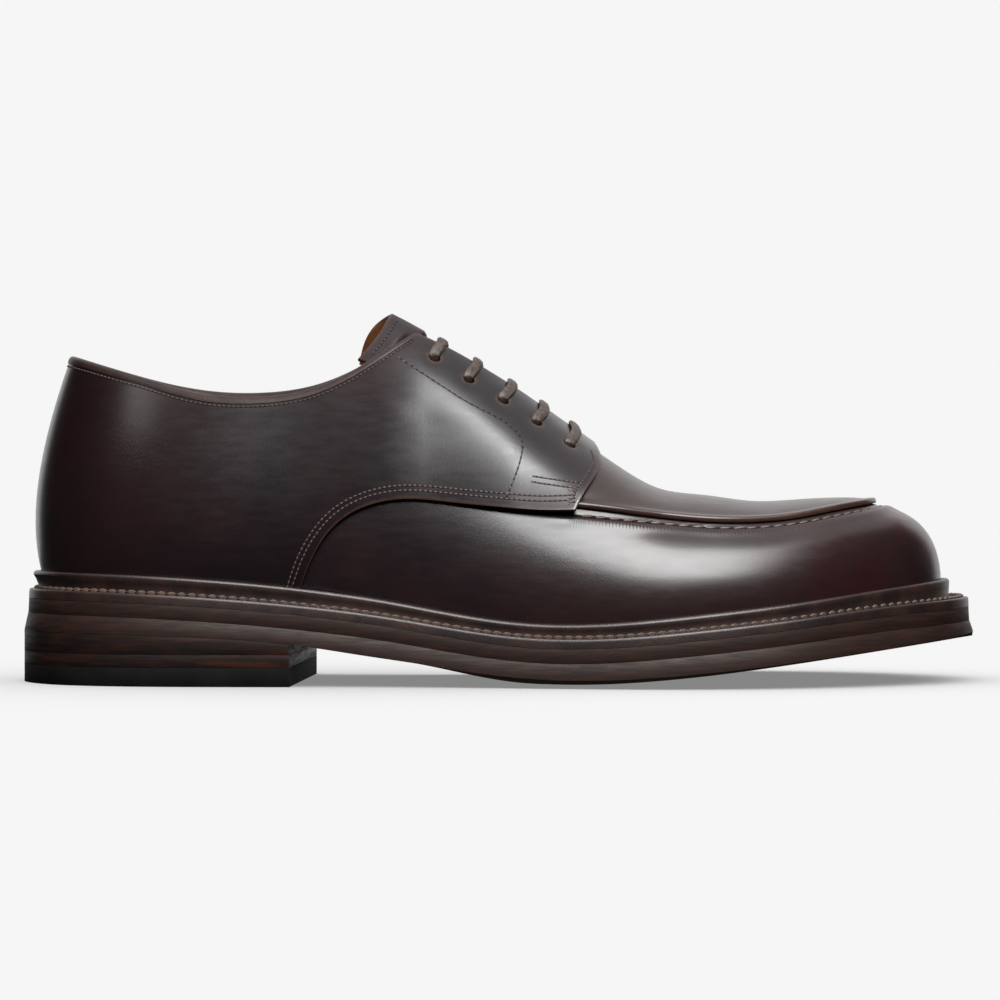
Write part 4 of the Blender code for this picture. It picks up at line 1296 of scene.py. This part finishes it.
def paper_sheet(name, corners, finish):
    """One flat sheet of paper."""
    bm = bmesh.new()
    bmesh.ops.create_grid(bm, x_segments=1, y_segments=1, size=1)
    for vert, corner in zip(bm.verts, corners):
        vert.co = corner
    return link(name, bm, (finish.material,))


def glowing(name, glow, tone):
    """Paper that gives part of its brightness itself, so that it is even as far as the eye sees."""
    made = Finish(name, roughness=1.0, specular_ior_level=0.0)
    made.colour((tone,) * 3)
    made.shader.inputs["Emission Color"].default_value = (1, 1, 1, 1)
    made.shader.inputs["Emission Strength"].default_value = glow
    return made


SKY_TONE = 0.03
floor_glow = PAPER_TONE * (1 - FLOOR_SHARE) - PAPER_GREY * SKY_TONE
floor_corners = [(-REACH, -REACH, 0), (REACH, -REACH, 0), (-REACH, REACH, 0), (REACH, REACH, 0)]
wall_corners = [(-REACH, REACH, -0.5), (REACH, REACH, -0.5), (-REACH, REACH, 5), (REACH, REACH, 5)]
floor = paper_sheet("floor", floor_corners, glowing("floor_paper", floor_glow, PAPER_GREY))
wall = paper_sheet("wall", wall_corners, glowing("wall_paper", PAPER_TONE, 0.0))
floor.visible_glossy = floor.visible_diffuse = wall.visible_diffuse = wall.visible_shadow = False


def soft_box(name, place, aim, size, power, tilt=0.0):
    """A rectangular area light turned towards a point, its top tilted to the right above zero."""
    light = bpy.data.lights.new(name, "AREA")
    light.shape = "RECTANGLE"
    light.size, light.size_y = size
    light.energy = power
    box = bpy.data.objects.new(name, light)
    box.location = place
    box.rotation_euler = (Vector(aim) - Vector(place)).to_track_quat("-Z", "Y").to_euler()
    box.rotation_euler.rotate_axis("Z", math.radians(-tilt))
    bpy.context.scene.collection.objects.link(box)
    return box


def sky_light(name, power, spread, lean_back):
    """A broad light from far above."""
    light = bpy.data.lights.new(name, "SUN")
    light.angle = math.radians(spread)
    light.energy = power
    sky = bpy.data.objects.new(name, light)
    sky.rotation_euler = (math.radians(lean_back), 0, 0)
    bpy.context.scene.collection.objects.link(sky)
    return sky


def light_only(light, group, pieces):
    """Let a light fall on some pieces alone."""
    lit = bpy.data.collections.new(group)
    for piece in pieces:
        lit.objects.link(piece)
    light.light_linking.receiver_collection = lit


shoe = [piece for piece, _, _ in STANDS_FOR] + [collar, *sewn.values()]
key = soft_box("key", (0.085, -0.65, 0.87), (0.03, 0, 0.05), (0.67, 0.80), 22)
ankle_key = soft_box("ankle_key", (0.31, -0.72, 0.77), (-0.03, 0, 0.09), (0.17, 0.95), 13, tilt=28)
heel_fill = soft_box("heel_fill", (-0.43, -0.58, 0.76), (-0.12, 0, 0.08), (0.20, 0.60), 1.2)
overhead = sky_light("overhead", 0.9, 80, -18)
paper_light = sky_light("paper_light", PAPER_TONE * FLOOR_SHARE * math.pi / PAPER_GREY, 110, 0)
ankle = [quarters[False], quarters[True], collar, tongue]
light_only(key, "lit_by_key", [piece for piece in shoe if piece not in ankle])
light_only(ankle_key, "lit_by_ankle_key", ankle)
light_only(heel_fill, "lit_by_heel_fill", ankle)
light_only(overhead, "lit_by_overhead", shoe)
light_only(paper_light, "lit_by_paper_light", [floor])
world = bpy.data.worlds.new("studio")
world.use_nodes = True
world.node_tree.nodes["Background"].inputs["Color"].default_value = (1, 1, 1, 1)
world.node_tree.nodes["Background"].inputs["Strength"].default_value = SKY_TONE
bpy.context.scene.world = world
bpy.context.scene.view_settings.view_transform = "Standard"
